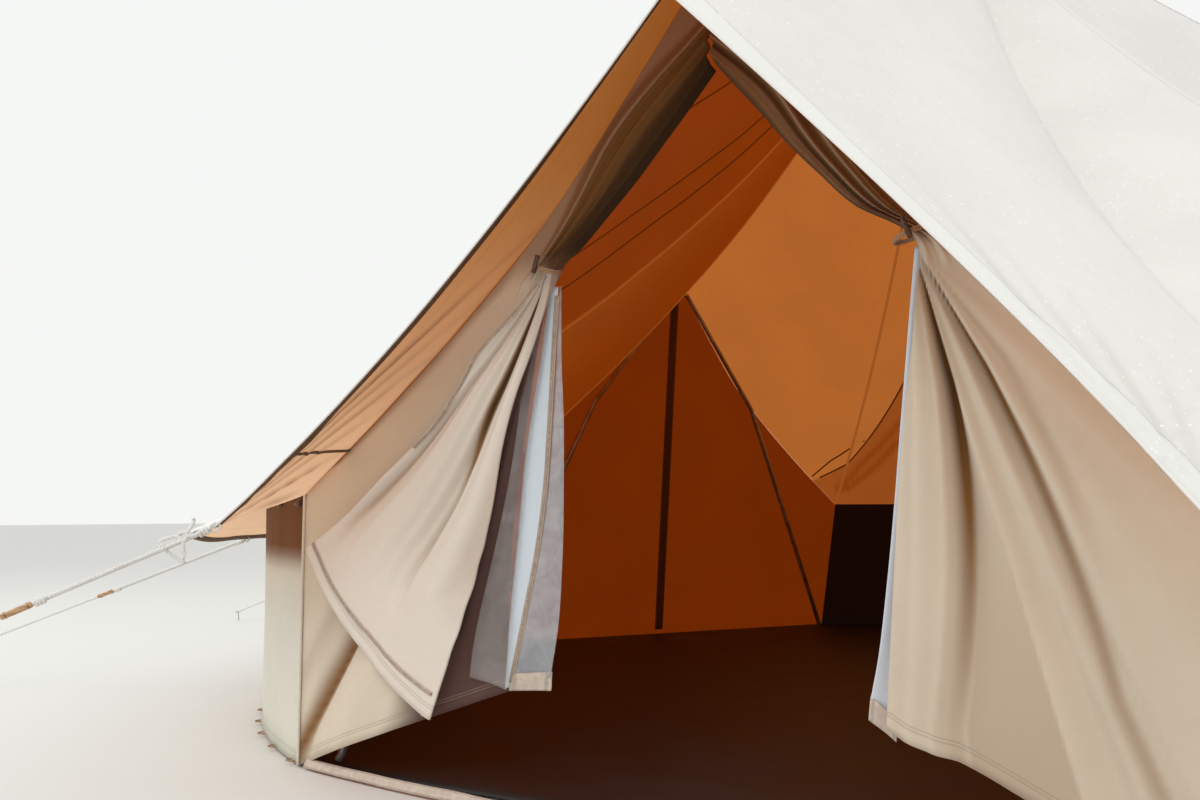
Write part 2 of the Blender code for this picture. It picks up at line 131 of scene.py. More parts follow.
def along(points, t):
    """A point of the smooth line through evenly spaced points."""
    last = len(points) - 1
    place = clamp(t) * last
    i = min(int(place), last - 1)
    f = place - i
    a, b = points[i], points[i + 1]
    before = points[i - 1] if i > 0 else a + (a - b)
    after = points[i + 2] if i + 2 <= last else b + (b - a)
    return 0.5 * ((2.0 * a) + (b - before) * f + (2.0 * before - 5.0 * a + 4.0 * b - after) * f * f
                  + (3.0 * a - before - 3.0 * b + after) * f ** 3)


def smooth_path(points, count):
    """The smooth line through evenly spaced points, cut into count steps."""
    return [along(points, i / count) for i in range(count + 1)]


def curve_at(points, x):
    """Height at x of the smooth line through unevenly spaced (x, height) points."""
    last = len(points) - 2
    i = next((i for i in range(last) if x <= points[i + 1][0]), last)
    (x0, z0), (x1, z1) = points[i], points[i + 1]
    before, after = points[max(i - 1, 0)], points[min(i + 2, last + 1)]
    slope0 = (z1 - before[1]) / (x1 - before[0])
    slope1 = (after[1] - z0) / (after[0] - x0)
    width = x1 - x0
    t = (x - x0) / width
    return (z0 * (2 * t ** 3 - 3 * t ** 2 + 1) + slope0 * width * (t ** 3 - 2 * t ** 2 + t)
            + z1 * (3 * t ** 2 - 2 * t ** 3) + slope1 * width * (t ** 3 - t ** 2))


def upright(height):
    return Vector((0.0, 0.0, height))


def gable_point(x, z, forward=0.0):
    """A point of the leaning front gable, moved forward towards the front."""
    return Vector((x, FOOT_Y + LEAN * z - forward, z))


def gable_line(*spots):
    return [gable_point(x, z) for x, z in spots]


def around(radius, angle, height):
    """A point round the centre pole; angle 0 is the front."""
    return Vector((radius * math.sin(angle), -radius * math.cos(angle), height))


def sided(point, left):
    """The point, or its mirror image for the left side."""
    return Vector((-point.x, point.y, point.z)) if left else point


def placing(mirrored, turn):
    """The matrix that takes the front gable's right half to another place."""
    matrix = Matrix.Rotation(turn, 4, "Z")
    return matrix @ Matrix.Scale(-1.0, 4, Vector((1.0, 0.0, 0.0))) if mirrored else matrix


HALVES = [(gable, side, placing(mirrored, turn)) for gable, turn in GABLES for side, mirrored in SIDES]
GABLE_HALF = GABLE_CURVE[-1][0]
CORNER = gable_point(GABLE_HALF, WALL_TOP)
FOOT = gable_point(FOOT_X, 0.0)


def slung(end, t, sag):
    """A point of cloth that hangs in a little between the peak (t 0) and its end (t 1)."""
    point = mix(PEAK, end, t)
    point.z -= sag * 4.0 * t * (1.0 - t) * (1.0 + SAG_TOWARDS_PEAK * (1.0 - 2.0 * t))
    return point


def side_swell(s):
    """How far the side has swelled out, from a corner (s 0) to its middle (s 1)."""
    return math.sin(0.5 * math.pi * s)


def junction_point(s, lower=0.0):
    """Where the roof meets the gable, from the ridge (s 0) to the corner (s 1)."""
    x = GABLE_HALF * s
    return gable_point(x, curve_at(GABLE_CURVE, x) - lower)


def under_roof(s):
    return junction_point(s, 0.006)


def hem_point(s):
    """The roof's hem over the gable, from its peak (s 0) to its corner (s 1)."""
    return mix(HEM_PEAK, HEM_CORNER, s) + HEM_BOW * (4.0 * s * (1.0 - s))


def side_point(corner, radius, height, s):
    """A point of the side's curve, from a corner (s 0) to the side's middle (s 1)."""
    angle = mix(math.atan2(corner.x, -corner.y), HALF_THIRD, s)
    return around(mix(corner.to_2d().length, radius, side_swell(s)), angle, height)


def eave_point(s):
    return side_point(CORNER, SIDE_RADIUS, WALL_TOP, s)


def skirt_point(s):
    return side_point(HEM_CORNER, SKIRT_RADIUS, mix(HEM_CORNER.z, SKIRT_HEIGHT, side_swell(s)), s)


def wall_foot(s):
    return side_point(FOOT, SIDE_RADIUS, 0.0, s)


# Finishes
def tint(colour, factor=1.0):
    return (*[min(1.0, c * factor) for c in colour], 1.0)


class Tone:
    """A number on its way through a finish, so that sums are written as sums."""

    def __init__(self, finish, socket):
        self.finish = finish
        self.socket = socket

    def call(self, operation, other=0.0, swapped=False):
        first, second = (other, self) if swapped else (self, other)
        return self.finish.add("ShaderNodeMath", {"operation": operation}, {0: first, 1: second})

    def __add__(self, other):
        return self.call("ADD", other)

    def __mul__(self, other):
        return self.call("MULTIPLY", other)

    def __sub__(self, other):
        return self.call("SUBTRACT", other)

    def __rsub__(self, other):
        return self.call("SUBTRACT", other, True)

    def __truediv__(self, other):
        return self.call("DIVIDE", other)

    def __rtruediv__(self, other):
        return self.call("DIVIDE", other, True)

    def __abs__(self):
        return self.call("ABSOLUTE")

    __radd__ = __add__
    __rmul__ = __mul__

    def waves(self):
        """A sine wave between 0 and 1."""
        return self.call("SINE") * 0.5 + 0.5

    def within(self):
        """The number, kept between 0 and 1."""
        return self.call("MINIMUM", 1.0).call("MAXIMUM", 0.0)

    def over(self, low, high):
        """0 at low and 1 at high, eased between."""
        settings = {"interpolation_type": "SMOOTHSTEP"}
        return self.finish.add("ShaderNodeMapRange", settings, {"Value": self, "From Min": low, "From Max": high})


class Finish:
    """One material and the few steps that its pattern is made with."""

    def __init__(self, name, colour, roughness, metallic=0.0):
        self.material = bpy.data.materials.new(name)
        self.material.use_nodes = True
        self.material.diffuse_color = tint(colour)
        self.tree = self.material.node_tree
        self.shader = self.tree.nodes["Principled BSDF"]
        self.colour = colour
        self.fix("Base Color", tint(colour))
        self.fix("Roughness", roughness)
        self.fix("Metallic", metallic)
        self.where = self.add("ShaderNodeTexCoord", out="Object")

    def add(self, kind, settings=None, values=None, out=0):
        node = self.tree.nodes.new(kind)
        for key, value in (settings or {}).items():
            setattr(node, key, value)
        for key, value in (values or {}).items():
            if isinstance(value, Tone):
                self.tree.links.new(value.socket, node.inputs[key])
            else:
                node.inputs[key].default_value = value
        return Tone(self, node.outputs[out])

    def fix(self, name, value):
        self.shader.inputs[name].default_value = value

    def feed(self, name, value):
        self.tree.links.new(value.socket, self.shader.inputs[name])

    def cloth_place(self):
        return self.add("ShaderNodeUVMap", {"uv_map": "cloth"})

    def mark(self, name):
        return self.add("ShaderNodeAttribute", {"attribute_name": name}, out="Fac")

    def part(self, place, axis):
        return self.add("ShaderNodeSeparateXYZ", None, {0: place}, axis)

    def grain(self, scale, detail=3.0, distortion=0.0):
        values = {"Vector": self.where, "Scale": scale, "Detail": detail, "Distortion": distortion}
        return self.add("ShaderNodeTexNoise", None, values)

    def spots(self, scale):
        return self.add("ShaderNodeTexVoronoi", None, {"Vector": self.where, "Scale": scale})

    def blend(self, share, first, second, way="MIX"):
        settings = {"data_type": "RGBA", "blend_type": way}
        return self.add("ShaderNodeMix", settings, {0: share, 6: first, 7: second}, 2)

    def mottled(self, share, darker, lighter):
        return self.blend(share, tint(self.colour, darker), tint(self.colour, lighter))

    def bump(self, height, strength, distance=0.001):
        values = {"Height": height, "Strength": strength, "Distance": distance}
        self.feed("Normal", self.add("ShaderNodeBump", None, values))


def canvas_finish(name, colour, shade, dusk_shade=None, glow=None, specks=False, grass_reflection=None):
    """Woven cotton canvas: mottled colour, painted shade that darkens the creases in two steps, weave, and a painted
    glow for the light that comes through from behind.
    """
    finish = Finish(name, colour, 0.88)
    mottle = finish.grain(2.6, 4.0)
    worn = mottle * 0.75 + finish.grain(38.0) * 0.25
    base = finish.mottled(worn.over(0.30, 0.72), 0.96, 1.03)
    # Painted reflection of the grass: the colour turns darker and greener towards the foot.
    if grass_reflection:
        height = finish.part(finish.where, "Z")
        base = finish.blend((height + mottle * 0.10).over(0.15, 0.04) * 0.6, base, tint(grass_reflection))
    # Painted shade: the crease_shade mark darkens the colour towards the shade colour, and past 1 towards a much
    # darker copy of it.
    crease_shade = finish.mark("crease_shade")
    crease_shading = crease_shade.within()
    base = finish.blend(crease_shading, base, tint(shade))
    base = finish.blend((crease_shade - 1.0).within(), base, tint(shade, 0.14))
    # Painted shade: the dusk_shade mark tints the colour where the cloth lies in shade, under the skirt or turned
    # into the tent.
    if dusk_shade:
        base = finish.blend(finish.mark("dusk_shade"), base, tint(dusk_shade))
    hem = finish.mark("hem")
    stitches = abs(abs(hem - STITCH_LINE) - 0.0035).over(0.0020, 0.0008)
    base = finish.blend(stitches * 0.42, base, tint(colour, 0.45))
    if specks:
        base = finish.blend(hem.over(STITCH_LINE - 0.003, STITCH_LINE + 0.003) * 0.7, base, tint((0.83, 0.835, 0.80)))
        there = finish.spots(50.0).over(0.17, 0.09) * finish.grain(9.0, 2.0).over(0.36, 0.56)
        base = finish.blend(there * 0.9, base, tint((1.0, 1.0, 1.0)))
        seam = finish.mark("seam_off")
        felled = seam.over(0.0095, 0.0080) * (1.0 - seam.over(0.0012, 0.0004) * 0.5)
        base = finish.blend(felled * 0.09, base, tint(colour, 0.62))
    finish.feed("Base Color", base)
    # Painted glow: emission stands in for the light that comes through the cloth; it is mottled, and dimmed in the
    # creases as painted shade.
    if glow:
        share = finish.mark("glow") + finish.mark("glow_step") * finish.mark("edge").over(-0.004, 0.004)
        lit = finish.blend(share, tint(glow[0]), tint(glow[1]))
        lit = finish.blend(worn.over(0.25, 0.80), lit, (1.16, 1.13, 1.10, 1.0), "MULTIPLY")
        finish.feed("Emission Color", finish.blend(crease_shading, lit, (0.28, 0.20, 0.20, 1.0), "MULTIPLY"))
        finish.fix("Emission Strength", 1.0)
    weave = finish.grain(420.0, 2.0) * 0.5 + finish.grain(90.0) * 0.5
    ripple = finish.grain(9.0, 3.0, 0.4)
    finish.bump(weave * 0.25 + ripple * 2.2 - stitches * 0.9, 0.35, 0.002)
    finish.feed("Roughness", worn * 0.10 + 0.83)
    finish.fix("Specular IOR Level", 0.20)
    finish.fix("Sheen Weight", 0.08)
    return finish


def tape_finish(name, colour, stitch, row=0.12, glow=None):
    """Sewn tape: fine ribs and a row of stitches near each edge."""
    finish = Finish(name, colour, 0.8)
    place = finish.cloth_place()
    across, run = finish.part(place, "X"), finish.part(place, "Y")
    near, far = [abs(across - edge).over(0.07, 0.02) for edge in (row, 1.0 - row)]
    dash = abs((run / 0.0045).call("FRACT") - 0.5).over(0.44, 0.34)
    thread = near.call("MAXIMUM", far) * dash
    base = finish.mottled(finish.grain(60.0).over(0.3, 0.7), 0.90, 1.08)
    finish.feed("Base Color", finish.blend(thread * 0.7, base, tint(colour, stitch)))
    # Painted glow: emission for a tape seen from inside, standing in for the light that comes through the canvas.
    if glow:
        finish.fix("Emission Color", tint(glow))
        finish.fix("Emission Strength", 1.0)
    finish.bump((run * 900.0).waves() * 0.15 - thread * 0.6, 0.4)
    finish.fix("Specular IOR Level", 0.25)
    return finish


def net_finish(name, colour, cover):
    """Insect net: thin threads with the light between them, seen as a haze."""
    finish = Finish(name, colour, 0.65)
    cloud = finish.grain(22.0, 3.0, 0.6)
    finish.feed("Base Color", finish.mottled(cloud.over(0.3, 0.7), 0.88, 1.08))
    crease_shade = finish.mark("crease_shade").within()
    finish.feed("Alpha", (cloud * 0.16 + (cover - 0.08) + crease_shade * 0.35).call("MINIMUM", 1.0))
    finish.bump(finish.grain(600.0, 1.0), 0.15, 0.0005)
    return finish


def metal_finish(name, colour, roughness):
    finish = Finish(name, colour, roughness, 1.0)
    wear = finish.grain(14.0, 5.0)
    finish.feed("Base Color", finish.mottled(wear.over(0.35, 0.7), 0.75, 1.1))
    finish.feed("Roughness", finish.spots(90.0) * 0.15 + wear * 0.2 + (roughness - 0.12))
    finish.bump(wear, 0.15, 0.0006)
    return finish


def wood_finish(name, colour):
    finish = Finish(name, colour, 0.55)
    rings = (finish.part(finish.where, "Z") * 500.0 + finish.grain(30.0, 2.0) * 9.0).waves()
    fibre = finish.grain(160.0, 4.0, 1.5)
    finish.feed("Base Color", finish.mottled(rings * 0.6 + fibre * 0.4, 0.62, 1.12))
    finish.feed("Roughness", fibre * 0.2 + 0.42)
    finish.bump(fibre, 0.25, 0.0006)
    return finish


def cord_finish(name, colour):
    finish = Finish(name, colour, 0.75)
    fibre = finish.grain(340.0, 3.0, 0.8)
    grime = finish.grain(11.0).over(0.62, 0.85)
    base = finish.mottled(fibre.over(0.3, 0.75), 0.78, 1.05)
    finish.feed("Base Color", finish.blend(grime * 0.4, base, tint((0.42, 0.38, 0.30))))
    finish.bump(fibre, 0.3, 0.0006)
    finish.fix("Sheen Weight", 0.2)
    return finish


def floor_cloth_finish(name, colour):
    """Ribbed heavy floor cloth, a little shiny where it is trodden."""
    finish = Finish(name, colour, 0.55)
    trodden = finish.grain(3.5, 5.0)
    finish.feed("Base Color", finish.mottled(trodden.over(0.35, 0.7), 0.75, 1.25))
    finish.feed("Roughness", trodden * 0.3 + 0.38)
    ribs = (finish.part(finish.where, "Y") * 700.0).waves()
    finish.bump(ribs * 0.5 + finish.grain(60.0), 0.3, 0.0012)
    return finish


def moulded_finish(name, colour, roughness):
    finish = Finish(name, colour, roughness)
    wear = finish.grain(120.0, 4.0)
    finish.feed("Base Color", finish.mottled(wear.over(0.3, 0.7), 0.8, 1.25))
    finish.feed("Roughness", wear * 0.2 + (roughness - 0.1))
    finish.bump(wear, 0.15, 0.0005)
    return finish


ROOF_OUT = canvas_finish("cream_roof_canvas", (0.80, 0.77, 0.745), (0.66, 0.62, 0.59), specks=True)
# The inside faces are dark orange copies of the cream canvas with a painted glow: their emission stands in for the
# daylight coming through the cloth.
ROOF_IN = canvas_finish("roof_canvas_inside", (0.12, 0.042, 0.012), (0.05, 0.015, 0.004),
                        glow=((0.190, 0.028, 0.0006), (0.390, 0.118, 0.022)))
# Painted glow on the overhang's underside, orange where the light comes through the canvas.
OVERHANG_IN = canvas_finish("overhang_canvas_inside", (0.42, 0.205, 0.060), (0.22, 0.10, 0.030),
                            glow=((0.185, 0.050, 0.003), (0.520, 0.370, 0.250)))
# Walls: painted orange shade under the skirt, and a painted green reflection of the grass at the foot.
SAND_OUT = canvas_finish("sand_wall_canvas", (0.71, 0.685, 0.605), (0.23, 0.115, 0.042),
                         dusk_shade=(0.150, 0.046, 0.001), grass_reflection=(0.42, 0.42, 0.31))
# Door cloth: painted shade in its folds and rolls, and a painted mauve shade where the left cloth turns into the
# tent.
FRONT_OUT = canvas_finish("sand_front_canvas", (0.70, 0.605, 0.485), (0.23, 0.100, 0.026),
                          dusk_shade=(0.13, 0.070, 0.060))
# Painted shade: the walls' inside, in the skirt's shadow, is nearly black with almost no glow.
SAND_IN = canvas_finish("wall_canvas_inside", (0.030, 0.016, 0.011), (0.02, 0.008, 0.005),
                        glow=((0.002, 0.0010, 0.0006), (0.002, 0.0010, 0.0006)))
DOOR_IN = canvas_finish("door_canvas_inside", (0.10, 0.034, 0.010), (0.03, 0.01, 0.004),
                        glow=((0.130, 0.0175, 0.0004), (0.130, 0.0175, 0.0004)))
LEAF_OUT = canvas_finish("rosy_sand_leaf_canvas", (0.775, 0.685, 0.600), (0.26, 0.14, 0.065))
CAP = canvas_finish("peak_cap_canvas", (0.60, 0.51, 0.42), (0.30, 0.22, 0.16))
HEM_ROPE = canvas_finish("cream_hem_rope", (0.82, 0.79, 0.765), (0.50, 0.42, 0.36))
NET_BAND = canvas_finish("white_net_band", (0.66, 0.72, 0.78), (0.40, 0.43, 0.50))
# Inside seam tapes: dark copies with a painted glow, as seen against the lit canvas.
SEAM_TAPE = tape_finish("inside_seam", (0.08, 0.022, 0.006), 0.6, glow=(0.055, 0.010, 0.0004))
LIT_SEAM = tape_finish("lit_inside_seam", (0.11, 0.036, 0.010), 0.6, glow=(0.290, 0.080, 0.014))
WEBBING = tape_finish("brown_hem_webbing", (0.13, 0.070, 0.038), 2.2)
LEAF_ZIP_TAPE = tape_finish("sand_zip_tape", (0.62, 0.52, 0.44), 0.45, 0.10)
ZIP_TAPE = tape_finish("brown_zip_tape", (0.47, 0.37, 0.29), 0.6, 0.10)
BEIGE_TAPE = tape_finish("beige_threshold_tape", (0.60, 0.50, 0.42), 0.6)
SAND_PIPING = cord_finish("sand_piping", (0.80, 0.73, 0.63))
ROPE = cord_finish("white_guy_rope", (0.86, 0.85, 0.82))
LOOP_CORD = cord_finish("tan_loop_cord", (0.42, 0.24, 0.13))
NET = net_finish("white_insect_net", (0.57, 0.59, 0.62), 0.46)
THIN_NET = net_finish("single_insect_net", (0.50, 0.46, 0.45), 0.26)
STEEL = metal_finish("galvanised_steel_tube", (0.55, 0.56, 0.57), 0.38)
ZIP_TEETH = moulded_finish("sand_zip_coil", (0.40, 0.30, 0.235), 0.45)
TOGGLE = wood_finish("dark_toggle_wood", (0.10, 0.055, 0.035))
SLIDER = wood_finish("pale_slider_wood", (0.55, 0.32, 0.16))
FLOOR = floor_cloth_finish("brown_floor_cloth", (0.022, 0.018, 0.016))


# Making
def finished(piece, finishes, nodes=()):
    """Give a made piece its finishes, its body and the nodes that it stands for."""
    for finish in finishes:
        piece.data.materials.append(finish.material)
    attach(piece, "root")
    if nodes:
        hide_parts(*nodes)
    return piece


def linked(name, mesh, smooth=True):
    data = bpy.data.meshes.new(name)
    mesh.to_mesh(data)
    mesh.free()
    for face in data.polygons:
        face.use_smooth = smooth
    piece = bpy.data.objects.new(name, data)
    bpy.context.scene.collection.objects.link(piece)
    return piece


def skin_mesh(columns, rows, place, span, facing=None, marks=None):
    """A grid of cloth laid on place(u, v), its face turned towards facing(point)."""
    mesh = bmesh.new()
    layer = mesh.loops.layers.uv.new("cloth")
    bmesh.ops.create_grid(mesh, x_segments=columns, y_segments=rows, size=0.5)
    marks = [(mesh.verts.layers.float.new(name), value) for name, value in (marks or {}).items()]
    for face in mesh.faces:
        for loop in face.loops:
            u, v = loop.vert.co.x + 0.5, loop.vert.co.y + 0.5
            loop[layer].uv = (u * span[0], v * span[1])
    for vert in mesh.verts:
        u, v = vert.co.x + 0.5, vert.co.y + 0.5
        for kind, value in marks:
            vert[kind] = value(u, v)
        vert.co = place(u, v)
    mesh.normal_update()
    if facing:
        turned = sum(face.normal.dot(facing(face.calc_center_median())) * face.calc_area() for face in mesh.faces)
        if turned < 0.0:
            bmesh.ops.reverse_faces(mesh, faces=mesh.faces[:])
    return mesh


def thickened(piece, thickness, outwards=-1.0, inner=0):
    solid = piece.modifiers.new("thickness", "SOLIDIFY")
    solid.thickness = thickness
    solid.offset = outwards
    solid.use_rim = True
    solid.material_offset = inner


def cloth(name, columns, rows, place, finishes, thickness, facing, span=(1.0, 1.0), marks=None, nodes=()):
    piece = linked(name, skin_mesh(columns, rows, place, span, facing, marks))
    thickened(piece, thickness, -1.0, len(finishes) - 1)
    finished(piece, finishes, nodes)


def normal_of(surface, u, v, away):
    step = 0.004
    du = surface(min(u + step, 1.0), v) - surface(max(u - step, 0.0), v)
    dv = surface(u, min(v + step, 1.0)) - surface(u, max(v - step, 0.0))
    normal = du.cross(dv).normalized()
    return -normal if normal.dot(away) < 0.0 else normal


def ways_along(path):
    """Which way a path goes at each of its points."""
    last = len(path) - 1
    return [(path[min(i + 1, last)] - path[max(i - 1, 0)]).normalized() for i in range(last + 1)]


def ribbon(name, path, normals, width, finish, thickness, crown=0.0):
    """A flat band of tape along a path, lying on the surface that the normals stand on."""
    count = len(path) - 1
    length = sum((b - a).length for a, b in zip(path, path[1:]))
    ways = ways_along(path)

    def place(u, v):
        i = min(int(round(v * count)), count)
        across = ways[i].cross(normals[i]).normalized()
        return path[i] + across * ((u - 0.5) * width) + normals[i] * (crown * (1.0 - (2.0 * u - 1.0) ** 2))

    mesh = skin_mesh(4 if crown else 2, count, place, (1.0, length))
    if mesh.faces[:][0].normal.dot(normals[0]) < 0.0:
        bmesh.ops.reverse_faces(mesh, faces=mesh.faces[:])
    piece = linked(name, mesh)
    thickened(piece, thickness, 1.0)
    return finished(piece, [finish])


def tube(name, path, radius, finish, sides=8, closed=False):
    """A round cord or bar along a path."""
    curve = bpy.data.curves.new(name, "CURVE")
    curve.dimensions = "3D"
    line = curve.splines.new("POLY")
    line.points.add(len(path) - 1)
    for spot, point in zip(line.points, path):
        spot.co = (*point, 1.0)
    line.use_cyclic_u = closed
    curve.bevel_depth = radius
    curve.bevel_resolution = sides // 2 - 2
    curve.use_fill_caps = not closed
    holder = bpy.data.objects.new(name + "_line", curve)
    bpy.context.scene.collection.objects.link(holder)
    data = bpy.data.meshes.new_from_object(holder.evaluated_get(bpy.context.evaluated_depsgraph_get()))
    bpy.data.objects.remove(holder, do_unlink=True)
    mesh = bmesh.new()
    mesh.from_mesh(data)
    bmesh.ops.remove_doubles(mesh, verts=mesh.verts[:], dist=0.00001)
    bmesh.ops.recalc_face_normals(mesh, faces=mesh.faces[:])
    return finished(linked(name, mesh), [finish])


def joined(name, pieces):
    """Put small pieces that belong together into one."""
    keep = pieces[0]
    with bpy.context.temp_override(active_object=keep, object=keep, selected_objects=pieces,
                                   selected_editable_objects=pieces):
        bpy.ops.object.join()
    keep.name = name
    return keep


# Roof
def roof_base(u, t):
    """The roof from the peak (t 0) past the eave (t 1) to its hem (t 2); u runs from ridge to side middle."""
    over_gable = u <= 0.5
    s = 2.0 * u if over_gable else 2.0 * u - 1.0
    inner = junction_point(s) if over_gable else eave_point(s)
    if t > 1.0:
        return mix(inner, hem_point(s) if over_gable else skirt_point(s), t - 1.0)
    sag = mix(RIDGE_SAG, VALLEY_SAG, s * s) if over_gable else mix(VALLEY_SAG, SIDE_SAG, side_swell(s))
    return slung(inner, t, sag)


CREASE_ENDS = [junction_point(s) for s in (0.97, 0.86, 0.74, 0.62, 0.50, 0.36)]


def line_distance(point, a, b):
    way = b - a
    share = clamp((point - a).dot(way) / way.length_squared)
    return (point - a - way * share).length, share


def overhang_crease(point):
    """How deep the drawn creases of the overhang are here: they run out from the hem corner."""
    depth = 0.0
    for i, end in enumerate(CREASE_ENDS):
        off, share = line_distance(point, HEM_CORNER, end)
        strength = math.sin(math.pi * min(1.0, share * 1.15 + 0.04)) ** 0.7 if share < 0.83 else 0.25
        depth = max(depth, strength * bell(off, 0.0, 0.006 + 0.010 * share) * (0.9 if i % 2 else 0.6))
    return depth


def roof_skin(matrix):
    """The roof's outer face on one side of one gable, as a function of (u, t)."""

    def skin(u, t):
        point = roof_base(u, t)
        out = Vector((point.x, point.y, 0.0)).normalized() * 0.6 + upright(0.8)
        if t > 1.0 and u <= 0.5:
            point = point - out * (0.006 * overhang_crease(point))
        if t > 1.0 and u > 0.5:
            wave = math.sin(40.0 * u + 1.3 * math.sin(17.0 * u)) * (t - 1.0) * min(1.0, (1.0 - u) * 12.0)
            point = point + out * (0.006 * wave * min(1.0, (u - 0.5) * 12.0))
        placed = matrix @ point
        lift = noise.noise(placed * 1.7) * 0.007 + noise.noise(placed * 5.0) * 0.0025
        calm = min(1.0, t * 3.0) * min(1.0, abs(2.0 - t) * 6.0 + 0.15) * min(1.0, abs(1.0 - t) * 8.0 + 0.2)
        return placed + (matrix.to_3x3() @ out) * (lift * calm)

    return skin


def roof_t(v):
    """The roof's own t for a row of its grid, which has its eave at EAVE_ROW."""
    return mix(PEAK_HOLE, 1.0, v / EAVE_ROW) if v <= EAVE_ROW else 1.0 + (v - EAVE_ROW) / (1.0 - EAVE_ROW)


def roof_away(point):
    return Vector((point.x, point.y, 1.2))


# Painted shade lines on the far gore's inside, as runs of (u, t): they dim its glow where tension creases would be.
FAR_CREASE_SHADE = (((0.495, 0.951), (0.535, 0.853), (0.615, 0.735), (0.70, 0.630)),
               ((0.515, 0.941), (0.565, 0.873), (0.615, 0.794), (0.72, 0.700)))
LEFT_GORE_GLOW = (0.02, 0.27, 0.52)


def tone_edge(t):
    """The u of the far seam, where the painted glow on the roof's inside steps to another brightness."""
    return 0.925 - 0.50 * t


def fold_shade(u, t):
    """How near a spot is to one of the painted shade lines drawn across the far gore for its creases."""
    spot = Vector((u, t))
    off = min(line_distance(spot, Vector(a), Vector(b))[0] for run in FAR_CREASE_SHADE for a, b in zip(run, run[1:]))
    return bell(off, 0.0, 0.010)


def roof_marks(tag):
    """Where the cloth has a painted glow, how bright it is, where a painted step in it ends at a seam, and how dark
    the painted shade in the overhang's creases is.
    """

    def glow(u, v):
        share = ease(2.0 * u - 1.0)
        if v > EAVE_ROW + 0.005:
            return max(0.0, 2.5 * min(u, 0.5) - 0.25) ** 1.5
        if tag == "front_left":
            return mix(LEFT_GORE_GLOW[2], LEFT_GORE_GLOW[1], share) if u >= 0.5 else 0.0
        if tag == "rear_left_right":
            return mix(LEFT_GORE_GLOW[0], LEFT_GORE_GLOW[1], share)
        if tag == "rear_left_left":
            return 0.42 - 0.30 * fold_shade(u, roof_t(v))
        return 0.30 if tag == "front_right" else 0.55

    def glow_step(u, v):
        return 0.58 if tag == "rear_left_left" else 0.0

    def edge(u, v):
        return tone_edge(roof_t(v)) - u

    # Painted shade in the overhang's creases, from their depth.
    def crease_shade(u, v):
        t = roof_t(v)
        return 1.05 * overhang_crease(roof_base(u, t)) if t > 1.0 and u <= 0.5 else 0.0

    def seam_off(u, v):
        t = roof_t(v)
        corner = mix(0.405, 0.440, t - 1.0) if t > 1.0 else 0.5
        near = min((0.0, corner, 1.0), key=lambda seam: abs(seam - u))
        return (roof_base(u, t) - roof_base(near, t)).length

    def hem(u, v):
        return HEM_BAND + STITCH_LINE - (roof_base(u, 2.0) - roof_base(u, roof_t(v))).length

    return {"glow": glow, "glow_step": glow_step, "edge": edge, "crease_shade": crease_shade, "seam_off": seam_off, "hem": hem}


def build_roof():
    drop = 3.3
    for gable, side, matrix in HALVES:
        tag = f"{gable}_{side}"
        skin = roof_skin(matrix)
        columns, rows = (64, 50) if gable == "rear_right" else (100, 100)
        mesh = skin_mesh(columns, rows, lambda u, v: skin(u, roof_t(v)), (2.4, drop), roof_away, roof_marks(tag))
        layer = mesh.loops.layers.uv["cloth"]
        for face in mesh.faces:
            middle = sum(loop[layer].uv.y for loop in face.loops) / (4 * drop)
            face.material_index = 2 if middle > EAVE_ROW else 0
        piece = linked(f"roof_canvas_{tag}", mesh)
        thickened(piece, ROOF_CLOTH, -1.0, 1)
        finished(piece, [ROOF_OUT, ROOF_IN, ROOF_OUT, OVERHANG_IN],
                 (f"roof_panel_{tag}", f"roof_gore_{tag}"))
        trim_roof(gable, side, skin)


def roof_normal(skin, u, t):
    du = skin(min(u + 0.01, 1.0), t) - skin(max(u - 0.01, 0.0), t)
    low, high = (PEAK_HOLE, 1.0) if t <= 1.0 else (1.0, 2.0)
    normal = du.cross(skin(u, min(t + 0.02, high)) - skin(u, max(t - 0.02, low))).normalized()
    return normal if normal.dot(roof_away(skin(u, t))) > 0.0 else -normal


def seam_ribbon(name, skin, spots, width, finish, thickness, below):
    """A tape sewn under the roof sheet through (u, t) spots."""
    normals = [roof_normal(skin, u, t) for u, t in spots]
    path = [skin(u, t) - normal * (ROOF_CLOTH + below) for (u, t), normal in zip(spots, normals)]
    return ribbon(name, path, [-normal for normal in normals], width, finish, thickness)


def beside(skin, u, inset, t):
    """The u of the line that runs inset metres beside the line u."""
    step = 0.02 if inset > 0.0 else -0.02
    return u + step * abs(inset) / (skin(u + step, t) - skin(u, t)).length


def hem_strip(name, skin):
    """The webbing sewn flat along the hem's underside."""
    rows, width, past_eave = 100, 0.026, 1.001
    edges = []
    for u in steps(0.0, 1.0, rows):
        inner = 2.0 - width / (skin(u, 2.0) - skin(u, past_eave)).length
        edges.append((u, max(inner, past_eave), roof_normal(skin, u, 1.9)))

    def place(a, b):
        u, inner, normal = edges[min(int(round(b * rows)), rows)]
        return skin(u, mix(2.0, inner, a)) - normal * (ROOF_CLOTH + 0.0004)

    piece = linked(name, skin_mesh(3, rows, place, (1.0, 2.6), lambda point: -roof_away(point)))
    thickened(piece, 0.0014, 1.0)
    finished(piece, [WEBBING])


